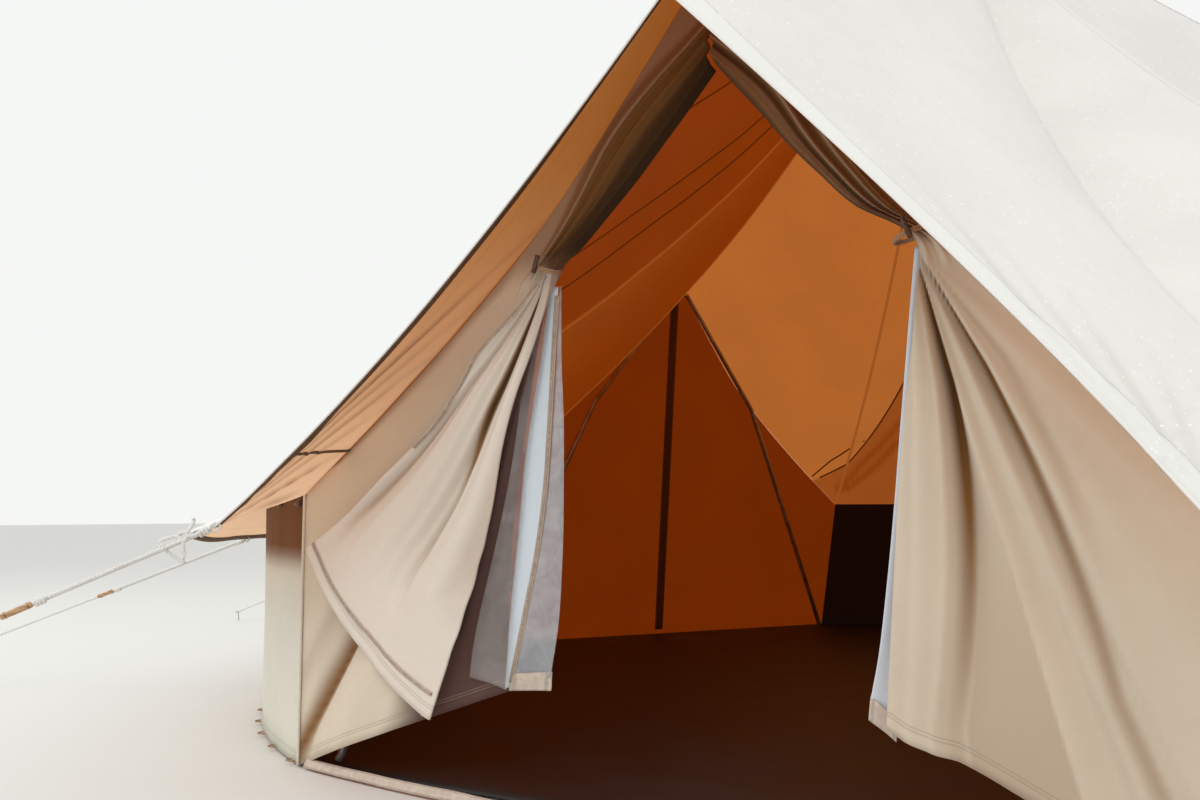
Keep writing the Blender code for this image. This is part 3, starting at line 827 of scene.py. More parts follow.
def trim_roof(gable, side, skin):
    """Seams under the sheet, the webbing under the hem, and the piping on its edge."""
    tag = f"{gable}_{side}"
    rows = steps(0.06, 1.0, 46)
    if tag == "rear_left_left":
        short_run = [(0.42, 0.990), (0.437, 0.94), (0.455, 0.892), (0.475, 0.85), (0.495, 0.804), (0.53, 0.775)]
        runs = [([(tone_edge(t), t) for t in steps(0.15, 0.97, 50)], 0.010, SEAM_TAPE),
                (short_run, 0.009, SEAM_TAPE)]
    else:
        seam = SEAM_TAPE if gable == "front" or side == "right" else LIT_SEAM
        runs = [([(mix(top, low, t), t) for t in rows], 0.007, seam)
                for top, low in ((0.395, 0.295), (0.445, 0.365), (0.20, 0.15))]
    for u, inset in ((0.0, 0.004), (0.5, -0.004), (0.5, 0.004), (1.0, -0.004)):
        runs.append(([(beside(skin, u, inset, t), t) for t in rows], 0.007, SEAM_TAPE if u == 0.0 else LIT_SEAM))
    joined(f"roof_seams_{tag}", [seam_ribbon(f"seam_{tag}_{i}", skin, spots, width, finish, 0.0006, 0.0003)
                                 for i, (spots, width, finish) in enumerate(runs)])
    hem_strip(f"hem_webbing_{tag}", skin)
    edge = [skin(u, 2.0) - upright(0.5 * ROOF_CLOTH) for u in steps(0.0, 1.0, 160)]
    tube(f"hem_piping_{tag}", edge, 0.0030, HEM_ROPE)
    corner = list(zip(steps(0.405, 0.437, 20), steps(2.0, 1.004, 20)))
    eave = [(u, 1.004) for u in steps(0.5, 1.0, 50)]
    for part, spots, width in (("corner", corner, 0.010), ("eave", eave, 0.012)):
        seam_ribbon(f"{part}_seam_{tag}", skin, spots, width, WEBBING, 0.0012, 0.0004)


# Camera and light
CAMERA_PLACE = (1.12, -4.30, 0.685)
CAMERA_TURN = math.radians(32.4)
SENSOR_WIDTH = 36.0
FRAME_PIXELS = 1200.0
FOCAL_PIXELS = 1100.0
SHIFT_PIXELS = 113.0
SKY_COLOUR = (0.985, 1.0, 0.985, 1.0)
SKY_STRENGTH = 0.93
LAMP_SIZE = 6.0
LAMPS = (("high_front", (1.5, -7.0, 7.5), (0.0, -1.0, 0.8), 130.0, (1.0, 0.98, 0.95)),
         ("high_left", (-7.0, -4.0, 6.0), (0.0, 0.0, 0.8), 160.0, (1.0, 0.99, 0.97)),
         ("high_back", (3.0, 7.5, 7.0), (0.0, 0.0, 0.8), 60.0, (1.0, 0.99, 0.97)))


def build_camera():
    data = bpy.data.cameras.new("camera")
    data.sensor_width = SENSOR_WIDTH
    data.lens = SENSOR_WIDTH * FOCAL_PIXELS / FRAME_PIXELS
    data.shift_y = SHIFT_PIXELS / FRAME_PIXELS
    data.clip_start, data.clip_end = 0.05, 200.0
    camera = bpy.data.objects.new("camera", data)
    camera.location = CAMERA_PLACE
    camera.rotation_euler = (math.radians(90.0), 0.0, CAMERA_TURN)
    bpy.context.scene.collection.objects.link(camera)
    bpy.context.scene.camera = camera


def build_studio():
    world = bpy.data.worlds.new("soft_sky")
    world.use_nodes = True
    sky = world.node_tree.nodes["Background"]
    sky.inputs[0].default_value = SKY_COLOUR
    sky.inputs[1].default_value = SKY_STRENGTH
    bpy.context.scene.world = world
    bpy.context.scene.view_settings.view_transform = "Standard"
    for name, place, aim, power, colour in LAMPS:
        data = bpy.data.lights.new(name, "AREA")
        data.shape = "DISK"
        data.size = LAMP_SIZE
        data.energy = power
        data.color = colour
        light = bpy.data.objects.new(name, data)
        light.location = place
        light.rotation_euler = (Vector(aim) - Vector(place)).to_track_quat("-Z", "Y").to_euler()
        bpy.context.scene.collection.objects.link(light)
    mesh = bmesh.new()
    bmesh.ops.create_grid(mesh, x_segments=2, y_segments=2, size=60.0)
    bmesh.ops.translate(mesh, verts=mesh.verts[:], vec=upright(-0.003))
    floor = linked("pale_floor", mesh, False)
    floor.data.materials.append(Finish("pale_floor", (0.72, 0.71, 0.69), 0.9).material)


# Walls
def wall_skin(matrix):
    """A low wall's outer face; u runs from the corner to the side's middle, v from foot to eave."""
    def skin(u, v):
        point = mix(wall_foot(u) + upright(GROUND_GAP), eave_point(u) - upright(EAVE_GAP), v)
        out = around(1.0, math.atan2(point.x, -point.y), 0.0)
        calm = min(1.0, u * 10.0) * math.sin(math.pi * clamp(v * 0.9 + 0.1))
        wave = math.sin(u * 26.0 + 2.0 * math.sin(u * 9.0)) * 0.5 + math.sin(u * 61.0 + v * 2.0) * 0.25
        placed = matrix @ (point + out * (0.006 * wave * calm))
        return placed + (matrix.to_3x3() @ out) * (0.004 * noise.noise(placed * 3.0) * calm)

    return skin


def flat_away(point):
    return Vector((point.x, point.y, 0.0))


def build_walls():
    # Painted shade: dusk_shade tints the wall's top, where the skirt shades it.
    marks = {"dusk_shade": lambda u, v: rise(v, 0.68, 0.12), "hem": lambda u, v: v * WALL_TOP}
    for gable, side, matrix in HALVES:
        cloth(f"side_wall_{gable}_{side}", 80 if gable == "front" else 56, 30, wall_skin(matrix), [SAND_OUT, SAND_IN],
              WALL_CLOTH, flat_away, (1.4, 0.74), marks, (f"wall_{gable}_{side}",))


# Front cloth
OPENING_RIGHT = gable_line(
    (0.004, 1.700), (0.055, 1.640), (0.115, 1.570), (0.180, 1.490), (0.255, 1.410), (0.335, 1.330), (0.468, 1.235),
    (0.483, 1.075), (0.472, 0.910), (0.463, 0.750), (0.459, 0.590), (0.456, 0.430), (0.454, 0.270))
OPENING_LEFT = gable_line(
    (0.004, 1.695), (0.070, 1.618), (0.138, 1.542), (0.202, 1.470), (0.270, 1.402), (0.340, 1.334), (0.405, 1.272),
    (0.445, 1.100), (0.470, 0.930), (0.490, 0.760), (0.503, 0.590), (0.508, 0.420), (0.504, 0.250))
GABLE_FOOT = gable_point(FOOT_X, GROUND_GAP)
FACE_OUTER = [under_roof(i / 10) for i in range(11)]
FACE_OUTER += [mix(FACE_OUTER[-1], GABLE_FOOT, 0.5), GABLE_FOOT]
TIE_RIGHT = (0.470, 1.225)
TIE_LEFT = (0.415, 1.262)
FOLDS_RIGHT = (
    (-4, -0.5), (-1, 2.4), (5, 4.8), (11.5, 3.8), (16.2, -2.2), (18.1, 2.4), (21.5, 1.6), (24.0, 2.6), (29.4, -0.6),
    (31.4, 3.4), (35.5, 2.2), (40, 1.9), (50, 0.5), (62, 0.0))
FOLDS_RIGHT_LOW = (
    (-4, -0.5), (-1, 2.4), (2.0, 4.2), (4.2, 3.2), (6.8, 0.2), (18.1, 4.4), (21.9, 2.2), (23.0, 3.0), (24.2, 1.6),
    (26.8, 3.2), (31, 3.0), (40, 1.9), (50, 0.5), (62, 0.0))
FOLDS_LEFT = (
    (-6, -6.0), (0, -5.0), (5, -3.4), (10, -1.2), (15, 1.6), (20, 4.0), (25, 4.8), (29, 2.9), (31.5, -0.4),
    (33.5, 1.3), (36, 2.2), (42, 1.2), (52, 0.3), (66, 0.0))
ROLL = (
    (0.0, -3.0), (0.008, 0.2), (0.022, 2.6), (0.036, 1.2), (0.046, 0.6), (0.060, 2.6), (0.074, 0.9), (0.082, 0.7),
    (0.094, 2.0), (0.104, 1.3), (0.112, 1.6), (0.122, 0.3), (0.150, 0.0))
# Painted shade across the gathered rolls, by distance from the opening's edge.
ROLL_SHADE_LEFT = (
    (0.0, 1.9), (0.028, 1.75), (0.040, 1.45), (0.050, 1.00), (0.062, 1.30), (0.080, 1.00), (0.095, 1.15),
    (0.110, 0.75), (0.135, 0.90), (0.16, 0.62), (0.24, 0.58))
ROLL_SHADE_RIGHT = (
    (0.0, 1.8), (0.020, 1.0), (0.030, 0.65), (0.045, 1.5), (0.060, 0.75), (0.075, 1.35), (0.090, 0.75),
    (0.110, 1.2), (0.20, 1.0))


def tied_angle(x, z, tie):
    """The angle from straight down, and the distance, of a gable point seen from a tie."""
    return math.degrees(math.atan2(x - tie[0], tie[1] - z)), math.hypot(x - tie[0], z - tie[1])


def leaning(far):
    """How far the folds' angles have gone from those near the tie to those at the foot."""
    return clamp((far - 0.30) / 0.65)


def front_spot(left, u, v):
    """A spot of a front cloth, the face's outer edge there, its angle and distance from the tie,
    its distance from the opening's edge, and its height above the tie."""
    opening, tie = (OPENING_LEFT, TIE_LEFT) if left else (OPENING_RIGHT, TIE_RIGHT)
    inner, outer = along(opening, v), along(FACE_OUTER, v)
    point = mix(inner, outer, u ** 1.35)
    angle, far = tied_angle(point.x, point.z, tie)
    return point, outer, angle, far, (point - inner).length, point.z - tie[1]


def front_skin(left):
    """A tied-back front cloth; u runs from the opening to the roof, v from the top to the foot."""
    def skin(u, v):
        point, outer, angle, far, edge, above = front_spot(left, u, v)
        folds = FOLDS_LEFT
        if not left:
            low = leaning(far)
            folds = [(mix(a, b, low), mix(h, k, low)) for (a, h), (b, k) in zip(FOLDS_RIGHT, FOLDS_RIGHT_LOW)]
        below = level(folds, angle) * 0.01 * (0.25 + 0.75 * ease(far / 0.42)) * (1.0 + 0.25 * rise(far, 0.6, 0.6))
        if left:
            below *= 1.0 - 0.85 * rise(angle, 11.0, 4.0) * fall(angle, 50.0, 6.0) * fall(far, 0.96, 0.10)
        forward = mix(below, level(ROLL, edge) * 0.01, rise(above, -0.07, 0.11))
        forward *= fall(u, 1.0, 0.12) * min(1.0, 0.25 + point.z / 0.10)
        crumple = noise.noise(Vector((point.x, 0.0, point.z)) * 6.0)
        forward += 0.003 * crumple * fall(u, 1.0, 0.2) * ease(u / 0.1)
        return sided(gable_point(point.x, point.z, forward), left)

    return skin


def front_away(point=None):
    return Vector((0.0, -1.0, 0.0))


def left_fold_shade(angle):
    """How dark the painted shade is in the left cloth's folds at an angle from its tie."""
    return bell(angle, 31.5, 1.3) + 0.25 * bell(angle, 36.5, 1.5)


def right_fold_shade(angle, far):
    """How dark the painted shade is in the right curtain's folds at an angle from its tie; the folds lean as they
    fall.
    """
    low = leaning(far)
    first, third = mix(16.2, 6.8, low), mix(29.4, 24.2, low)
    flank = mix(0.20, 0.44, low) * rise(angle, first, 1.5) * fall(angle, 18.4, 0.6)
    dark = mix(1.45, 0.38, low) * bell(angle, first, mix(1.9, 1.3, low))
    dark += mix(1.10, 0.50, low) * bell(angle, third, mix(1.4, 0.9, low))
    dark += 0.24 * rise(far, 0.5, 0.3) * bell(angle, 21.9, 1.0)
    dark += 0.20 * rise(far, 0.78, 0.12) * bell(angle, 26.4, 0.50)
    dark += 0.36 * (1.0 - low) * bell(angle, mix(36.5, 24.6, low), 1.6)
    return max(dark, flank, 0.13 * fall(angle, first, 2.0))


def hem_distance(skin):
    """How far a spot of a sheet is from the edge v 1, from the sheet's own length there."""
    rates = {}

    def distance(u, v):
        if u not in rates:
            rates[u] = (skin(u, 1.0) - skin(u, 0.97)).length / 0.03
        return (1.0 - v) * rates[u]

    return distance


def front_marks(left):
    """How dark the painted shade is in the folds and rolls of a front cloth, along its edge under the roof and in the
    band under the roof, and where its painted mauve shade lies.
    """

    def crease_shade(u, v):
        point, outer, angle, far, edge, above = front_spot(left, u, v)
        roll = rise(above, -0.03, 0.10)
        dark = left_fold_shade(angle) if left else right_fold_shade(angle, far)
        rolled = level(ROLL_SHADE_LEFT if left else ROLL_SHADE_RIGHT, edge) * roll
        reach = 0.012 + 0.10 * rise(point.z, 0.70, 0.6)
        shaded = 0.55 * rise(point.z, 0.64, 0.20) * ease(1.0 - (outer - point).length / reach)
        under = 0.0 if left else 0.22 * rise(point.z, 0.95, 0.4) + 0.17 * fall(angle, 34.0, 10.0)
        return max(dark * ease(far / 0.12) * (1.0 - roll), rolled, shaded, under * (1.0 - roll))

    # Painted mauve shade towards the left cloth's free edge, where it turns into the tent.
    def dusk_shade(u, v):
        point, outer, angle, far, edge, above = front_spot(left, u, v)
        return fall(angle, 21.0, 6.0) * (1.0 - rise(above, -0.03, 0.10)) if left else 0.0

    return {"crease_shade": crease_shade, "dusk_shade": dusk_shade, "hem": hem_distance(front_skin(left))}


def build_front_cloth():
    for side, mirrored in SIDES:
        nodes = [f"front_gable_face_{side}"] + ([] if mirrored else [f"front_door_leaf_{side}"])
        cloth(f"front_cloth_{side}", 150, 150, front_skin(mirrored), [FRONT_OUT, DOOR_IN], LEAF_CLOTH, front_away,
              (1.16, 1.9), front_marks(mirrored), nodes)


LAPEL_FOLD = gable_line(
    (0.400, 1.270), (0.428, 1.105), (0.463, 0.975), (0.497, 0.835), (0.521, 0.680), (0.562, 0.480), (0.655, 0.184))
LAPEL_ZIP = gable_line(
    (0.420, 1.268), (0.490, 1.168), (0.590, 1.075), (0.705, 0.935), (0.835, 0.805), (0.975, 0.680), (1.110, 0.592))
LAPEL_HEM_WAY = Vector((0.678, 0.0, -0.735))
LAPEL_FOLDS = (
    (4, 3.8), (10, 4.6), (15, 5.8), (18.5, 4.6), (20.6, 1.8), (22.6, 1.8), (25, 4.6), (29, 6.4), (33, 6.0),
    (36, 4.8), (38.2, 3.4), (40.5, 4.8), (44, 6.2), (48, 5.4), (56, 3.4))
LAPEL_TURN = 0.12


def lapel_angle(x, z):
    """The angle from the tie, with the folds' lean taken out, and the distance."""
    angle, far = tied_angle(x, z, TIE_LEFT)
    return angle - 13.0 * (min(far, 0.8) - 0.45), far


def lapel_skin(u, v):
    """The left leaf's turned-back part: u runs from its rolled edge to the zip, v from the tie to the hem."""
    fold = along(LAPEL_FOLD, v)
    if u < LAPEL_TURN:
        wrap = (1.0 - u / LAPEL_TURN) * math.pi * 0.75
        x = fold.x + (1.0 - math.cos(wrap)) * 0.030 * ease(v / 0.15)
        z = fold.z
        sink = math.sin(wrap * 0.66) * 0.030
    else:
        share = (u - LAPEL_TURN) / (1.0 - LAPEL_TURN)
        point = mix(fold, along(LAPEL_ZIP, v), share)
        point = point + LAPEL_HEM_WAY * (0.047 * math.sin(math.pi * share) ** 0.75 * rise(v, 0.35, 0.65))
        wave = math.sin(v * 9.0 + 0.6) * 0.010 * share * math.sin(math.pi * v)
        x, z = point.x + wave, point.z + wave * 0.6
        sink = 0.0
    angle, far = lapel_angle(x, z)
    full = mix(level(LAPEL_FOLDS, angle), 5.2, 0.85 * rise(far, 0.70, 0.25))
    forward = full * 0.01 * (0.30 + 0.70 * ease(far / 0.35)) + 0.004 - sink
    forward += 0.004 * noise.noise(Vector((x * 5.0, 0.0, z * 5.0))) + 0.012 * rise(far, 0.55, 0.3)
    forward += 0.010 * rise(v, 0.55, 0.45) * rise(u, 0.3, 0.7)
    wrinkle = math.sin(70.0 * (0.55 * x + z) + 9.0 * math.sin(6.0 * x + 2.0 * z))
    forward += 0.0022 * wrinkle * rise(noise.noise(Vector((x * 3.1, 4.0, z * 3.1))), 0.02, 0.3)
    return sided(gable_point(x, z, forward), True)


def lapel_crease_shade(u, v):
    """How dark the painted shade is in the creases of the turned-back part, higher up under the roof and by its
    rolled edge.
    """
    point = lapel_skin(u, v)
    angle, far = lapel_angle(-point.x, point.z)
    low = rise(far, 0.33, 0.28)
    fade = ease(far / 0.10) * (1.0 - rise(far, 0.68, 0.22))
    folds = mix(1.90, 0.46, low) * bell(angle, mix(23.4, 20.8, low), mix(0.75, 1.5, low))
    folds += 0.15 * bell(angle, 26.5, 2.5) + 0.55 * bell(angle, 37.6, 1.5)
    return max(folds * fade, 0.35 * rise(point.z, 1.0, 0.2), 0.35 * fall(angle, 14.0, 4.0) * fade)


def zip_run(name, surface, spots, tape, gap, finish):
    """A zip laid on a front cloth: two tapes with a coil of teeth between them."""
    normals = [normal_of(surface, u, v, front_away()) for u, v in spots]
    path = [surface(u, v) + normal * 0.0011 for (u, v), normal in zip(spots, normals)]
    across = [way.cross(normal).normalized() for way, normal in zip(ways_along(path), normals)]
    pieces = []
    for k, sign in enumerate((-1.0, 1.0)):
        shifted = [p + a * (sign * 0.5 * (tape + gap)) for p, a in zip(path, across)]
        pieces.append(ribbon(f"{name}_tape_{k}", shifted, normals, tape, finish, 0.0009))
    pieces.append(tube(f"{name}_coil", [p + n * 0.0010 for p, n in zip(path, normals)], 0.0017, ZIP_TEETH, 6))
    joined(name, pieces)


def build_lapel():
    cloth("front_leaf_left", 110, 110, lapel_skin, [LEAF_OUT, LEAF_OUT], LEAF_CLOTH, front_away, (0.75, 1.1),
          {"crease_shade": lapel_crease_shade, "hem": hem_distance(lapel_skin)}, ("front_door_leaf_left",))
    hem = [(u, 0.968) for u in steps(0.14, 0.995, 140)]
    zip_run("leaf_hem_zip", lapel_skin, hem, 0.0040, 0.0030, LEAF_ZIP_TAPE)
    edge = [(0.985, v) for v in steps(0.05, 0.60, 60)]
    zip_run("leaf_edge_zip", lapel_skin, edge, 0.0036, 0.0026, LEAF_ZIP_TAPE)


# Insect net: the lines on the gable that its strips run between
BAND_LINE = gable_line(
    (0.425, 1.235), (0.437, 1.071), (0.455, 0.930), (0.468, 0.800), (0.477, 0.600), (0.487, 0.400), (0.489, 0.262))
HIDDEN_LINE = gable_line(
    (0.411, 1.235), (0.423, 1.071), (0.441, 0.930), (0.454, 0.800), (0.463, 0.600), (0.473, 0.400), (0.475, 0.262))
ZIP_LINE = gable_line(
    (0.398, 1.235), (0.399, 1.040), (0.400, 0.900), (0.402, 0.747), (0.417, 0.590), (0.443, 0.440), (0.477, 0.268))
NEAR_LINE = gable_line(
    (0.396, 1.240), (0.381, 1.040), (0.367, 0.901), (0.354, 0.720), (0.347, 0.590), (0.346, 0.440), (0.361, 0.300))
FAR_LINE = gable_line(
    (0.440, 1.225), (0.476, 1.060), (0.486, 0.925), (0.499, 0.800), (0.534, 0.600), (0.578, 0.400), (0.588, 0.285))
RIGHT_LINE = gable_line(
    (0.470, 1.220), (0.461, 1.040), (0.453, 0.880), (0.445, 0.711), (0.436, 0.560), (0.425, 0.420), (0.410, 0.320))
RIGHT_IN_LINE = gable_line(
    (0.486, 1.215), (0.480, 1.040), (0.478, 0.880), (0.474, 0.711), (0.470, 0.560), (0.466, 0.420), (0.462, 0.270))
FOOT_LEFT = (gable_line((0.478, 0.300), (0.479, 0.280), (0.480, 0.258)),
             gable_line((0.358, 0.312), (0.359, 0.290), (0.360, 0.268)))
FOOT_RIGHT = (gable_line((0.409, 0.325), (0.408, 0.300), (0.407, 0.278)),
              gable_line((0.464, 0.285), (0.463, 0.262), (0.462, 0.240)))


def net_strip(name, first, second, forward, ripples, depth, columns, span, finish, nodes=()):
    """A strip of net, or its foot band, between two lines of the gable; span is its width and length as cloth."""
    left = name.endswith("left")

    def skin(u, v):
        point = mix(along(first, v), along(second, v), u)
        wave = math.sin(math.pi * 2.0 * ripples * u + v * 2.2) * depth * (0.35 + 0.65 * v)
        stand = forward + wave + 0.0025 * noise.noise(Vector((point.x * 9.0, v * 3.0, point.z * 4.0)))
        return sided(gable_point(point.x, point.z, stand), left)

    if finish is BEIGE_TAPE:
        cloth(name, columns, 8, skin, [finish], 0.0015, front_away, span, None)
    else:
        cloth(name, columns, 90, skin, [finish], NET_CLOTH, front_away, span, None, nodes)
    return skin


def build_net():
    net_strip("front_net_left", ZIP_LINE, NEAR_LINE, -0.016, 0.8, 0.005, 24, (0.1, 0.97), NET,
              ("front_mesh_door_left",))
    net_strip("front_net_back_left", HIDDEN_LINE, FAR_LINE, 0.002, 0.9, 0.004, 24, (0.1, 0.97), THIN_NET)
    band = net_strip("net_band_left", BAND_LINE, ZIP_LINE, -0.010, 0.4, 0.003, 14, (0.06, 0.97), NET_BAND)
    zip_run("net_zip_left", band, [(0.97, v) for v in steps(0.02, 0.99, 90)], 0.005, 0.003, ZIP_TAPE)
    net_strip("net_foot_band_left", *FOOT_LEFT, -0.014, 0.6, 0.004, 20, (1.0, 0.04), BEIGE_TAPE)
    net_strip("front_net_right", RIGHT_LINE, RIGHT_IN_LINE, -0.012, 0.7, 0.005, 18, (0.05, 0.95), NET_BAND,
              ("front_mesh_door_right",))
    net_strip("net_foot_band_right", *FOOT_RIGHT, -0.010, 0.6, 0.004, 16, (1.0, 0.04), BEIGE_TAPE)


# Shut doors
def door_skin(matrix):
    """A shut door leaf; u runs from the centre zip to the gable's edge, v from foot to roof."""
    def skin(u, v):
        point = mix(gable_point(FOOT_X * u, GROUND_GAP), under_roof(u), v)
        calm = min(1.0, (1.0 - u) * 8.0) * math.sin(math.pi * min(1.0, v * 0.9 + 0.1))
        wave = math.sin(u * 14.0 + v * 3.0) * 0.5 + math.sin(u * 37.0 - v * 5.0) * 0.2
        return matrix @ (point + Vector((0.0, -0.005 * wave * calm * min(1.0, u * 6.0), 0.0)))

    return skin


def build_shut_doors():
    marks = {"hem": lambda u, v: v * mix(1.95, WALL_TOP, u)}
    for gable, turn in GABLES[1:]:
        matrix = placing(False, turn)
        out = matrix.to_3x3() @ front_away()
        for side, mirrored in SIDES:
            cloth(f"shut_door_{gable}_{side}", 56, 56, door_skin(placing(mirrored, turn)), [SAND_OUT, DOOR_IN],
                  WALL_CLOTH, lambda point: out, (1.16, 1.9), marks, (f"door_{gable}_{side}",))
        for face, forward, normal, finish, width in (("out", 0.0008, out, ZIP_TAPE, 0.036),
                                                     ("in", -WALL_CLOTH - 0.0008, -out, WEBBING, 0.050)):
            path = [matrix @ gable_point(0.0, z, forward) for z in steps(0.03, 1.955, 80)]
            ribbon(f"centre_zip_{face}_{gable}", path, [normal] * 81, width, finish, 0.0014, 0.001)
        coil = [matrix @ gable_point(0.0, z, 0.0040) for z in steps(0.03, 1.90, 80)]
        tube(f"centre_zip_coil_{gable}", coil, 0.0022, ZIP_TEETH, 6)


# Poles and floor
def build_poles():
    for name in ("centre_pole", "a_frame_front", "a_frame_rear_right", "a_frame_rear_left"):
        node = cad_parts[name]
        node.data.materials.clear()
        node.data.materials.append(STEEL.material)


def build_floor_cloth():
    side = [wall_foot(i / 24) for i in range(25)]
    outline = []
    for gable, turn in GABLES:
        outline += [placing(True, turn) @ p for p in reversed(side[:-1])]
        outline += [placing(False, turn) @ p for p in side]
    inset = [flat_away(p - p.normalized() * 0.011) for p in outline]
    count = len(inset)

    def place(u, v):
        spot = u * count
        i = int(spot) % count
        point = mix(inset[i], inset[(i + 1) % count], spot - int(spot)) * mix(0.02, 1.0, v)
        return point + upright(0.0075 + 0.0025 * noise.noise(point * 3.0) * min(1.0, (1.0 - v) * 6.0))

    mesh = skin_mesh(count, 30, place, (16.0, 2.5), lambda point: upright(1.0))
    bmesh.ops.remove_doubles(mesh, verts=mesh.verts[:], dist=0.0001)
    hole = [edge for edge in mesh.edges if edge.is_boundary and edge.verts[0].co.to_2d().length < 0.2]
    bmesh.ops.contextual_create(mesh, geom=hole)
    bmesh.ops.recalc_face_normals(mesh, faces=mesh.faces[:])
    piece = linked("floor_cloth", mesh)
    thickened(piece, 0.003)
    finished(piece, [FLOOR], ("groundsheet",))


def build_thresholds():
    """The floor cloth's lip at each doorway, a band of beige tape, slumped a little outwards at the front."""
    for gable, turn in GABLES:
        matrix = placing(False, turn)
        path = []
        for share in steps(0.0, 1.0, 120):
            x = mix(-1.13, 1.13, share)
            bow = 0.085 * math.sin(math.pi * share) ** 0.8 if gable == "front" else 0.004
            height = 0.014 + 0.004 * noise.noise(Vector((x * 6.0, 0.0, 0.0)))
            path.append(matrix @ Vector((x, FOOT_Y - 0.004 - bow, height)))
        normal = matrix.to_3x3() @ Vector((0.0, -0.85, 0.52))
        ribbon(f"threshold_lip_{gable}", path, [normal] * 121, 0.026, BEIGE_TAPE, 0.002, 0.002)


# Cap, guy lines and small parts
def build_cap():
    """The sewn cap over the roof sheets' tops; it runs once round through all six sheets."""
    order = [(placing(backwards, turn), backwards) for gable, turn in GABLES for backwards in (True, False)]

    def place(u, v):
        part = min(int(u * 6.0), 5)
        share = u * 6.0 - part
        matrix, backwards = order[part]
        base = matrix @ roof_base(1.0 - share if backwards else share, 0.072 * v)
        return base + upright(0.003 + 0.0015 * math.sin(math.pi * v) + 0.004 * (1.0 - v) ** 2)

    mesh = skin_mesh(72, 16, place, (1.2, 0.2), roof_away)
    bmesh.ops.remove_doubles(mesh, verts=mesh.verts[:], dist=0.00005)
    piece = linked("peak_cap_cloth", mesh)
    thickened(piece, 0.0022)
    finished(piece, [CAP], ("peak_cap",))
    for k, v in enumerate((0.90, 0.97)):
        ring = [place(i / 144.0, v) + upright(0.0006) for i in range(144)]
        tube(f"peak_cap_stitch_{k}", ring, 0.0007, SAND_PIPING, 6, True)


def twisted(name, path):
    """Three-strand rope: three strands wound round the path."""
    lengths = [0.0]
    for a, b in zip(path, path[1:]):
        lengths.append(lengths[-1] + (b - a).length)
    strands = []
    count = max(24, int(lengths[-1] / 0.0045))
    for k in range(3):
        line, i = [], 0
        for j in range(count + 1):
            run = lengths[-1] * j / count
            while i < len(path) - 2 and lengths[i + 1] < run:
                i += 1
            way = path[i + 1] - path[i]
            here = path[i] + way * ((run - lengths[i]) / max(way.length, 1e-6))
            side = way.cross(upright(1.0))
            side = side.normalized() if side.length > 1e-6 else Vector((1.0, 0.0, 0.0))
            up = side.cross(way.normalized())
            angle = math.tau * (run / STRAND_TURN + k / 3.0)
            line.append(here + (side * math.cos(angle) + up * math.sin(angle)) * (STRAND_RADIUS * 0.48))
        strands.append(tube(f"{name}_{k}", line, STRAND_RADIUS * 0.55, ROPE, 6))
    return joined(name, strands)


def block(name, middle, axes, size, edge, finish):
    """A bevelled block turned to three axes."""
    mesh = bmesh.new()
    bmesh.ops.create_cube(mesh, size=1.0)
    bmesh.ops.scale(mesh, verts=mesh.verts[:], vec=size)
    bmesh.ops.bevel(mesh, geom=mesh.edges[:], offset=edge, offset_type="OFFSET", segments=3, profile=0.5,
                    affect="EDGES", material=-1)
    turn = Matrix(axes).transposed().to_4x4()
    bmesh.ops.transform(mesh, matrix=Matrix.Translation(middle) @ turn, verts=mesh.verts[:])
    return finished(linked(name, mesh), [finish])


def ring_path(middle, first, second, turns, count, climb=Vector()):
    """A coil round a middle point, climbing by a step from end to end."""
    path = []
    for i in range(count + 1):
        angle = math.tau * turns * i / count
        path.append(middle + first * math.cos(angle) + second * math.sin(angle) + climb * (i / count - 0.5))
    return path


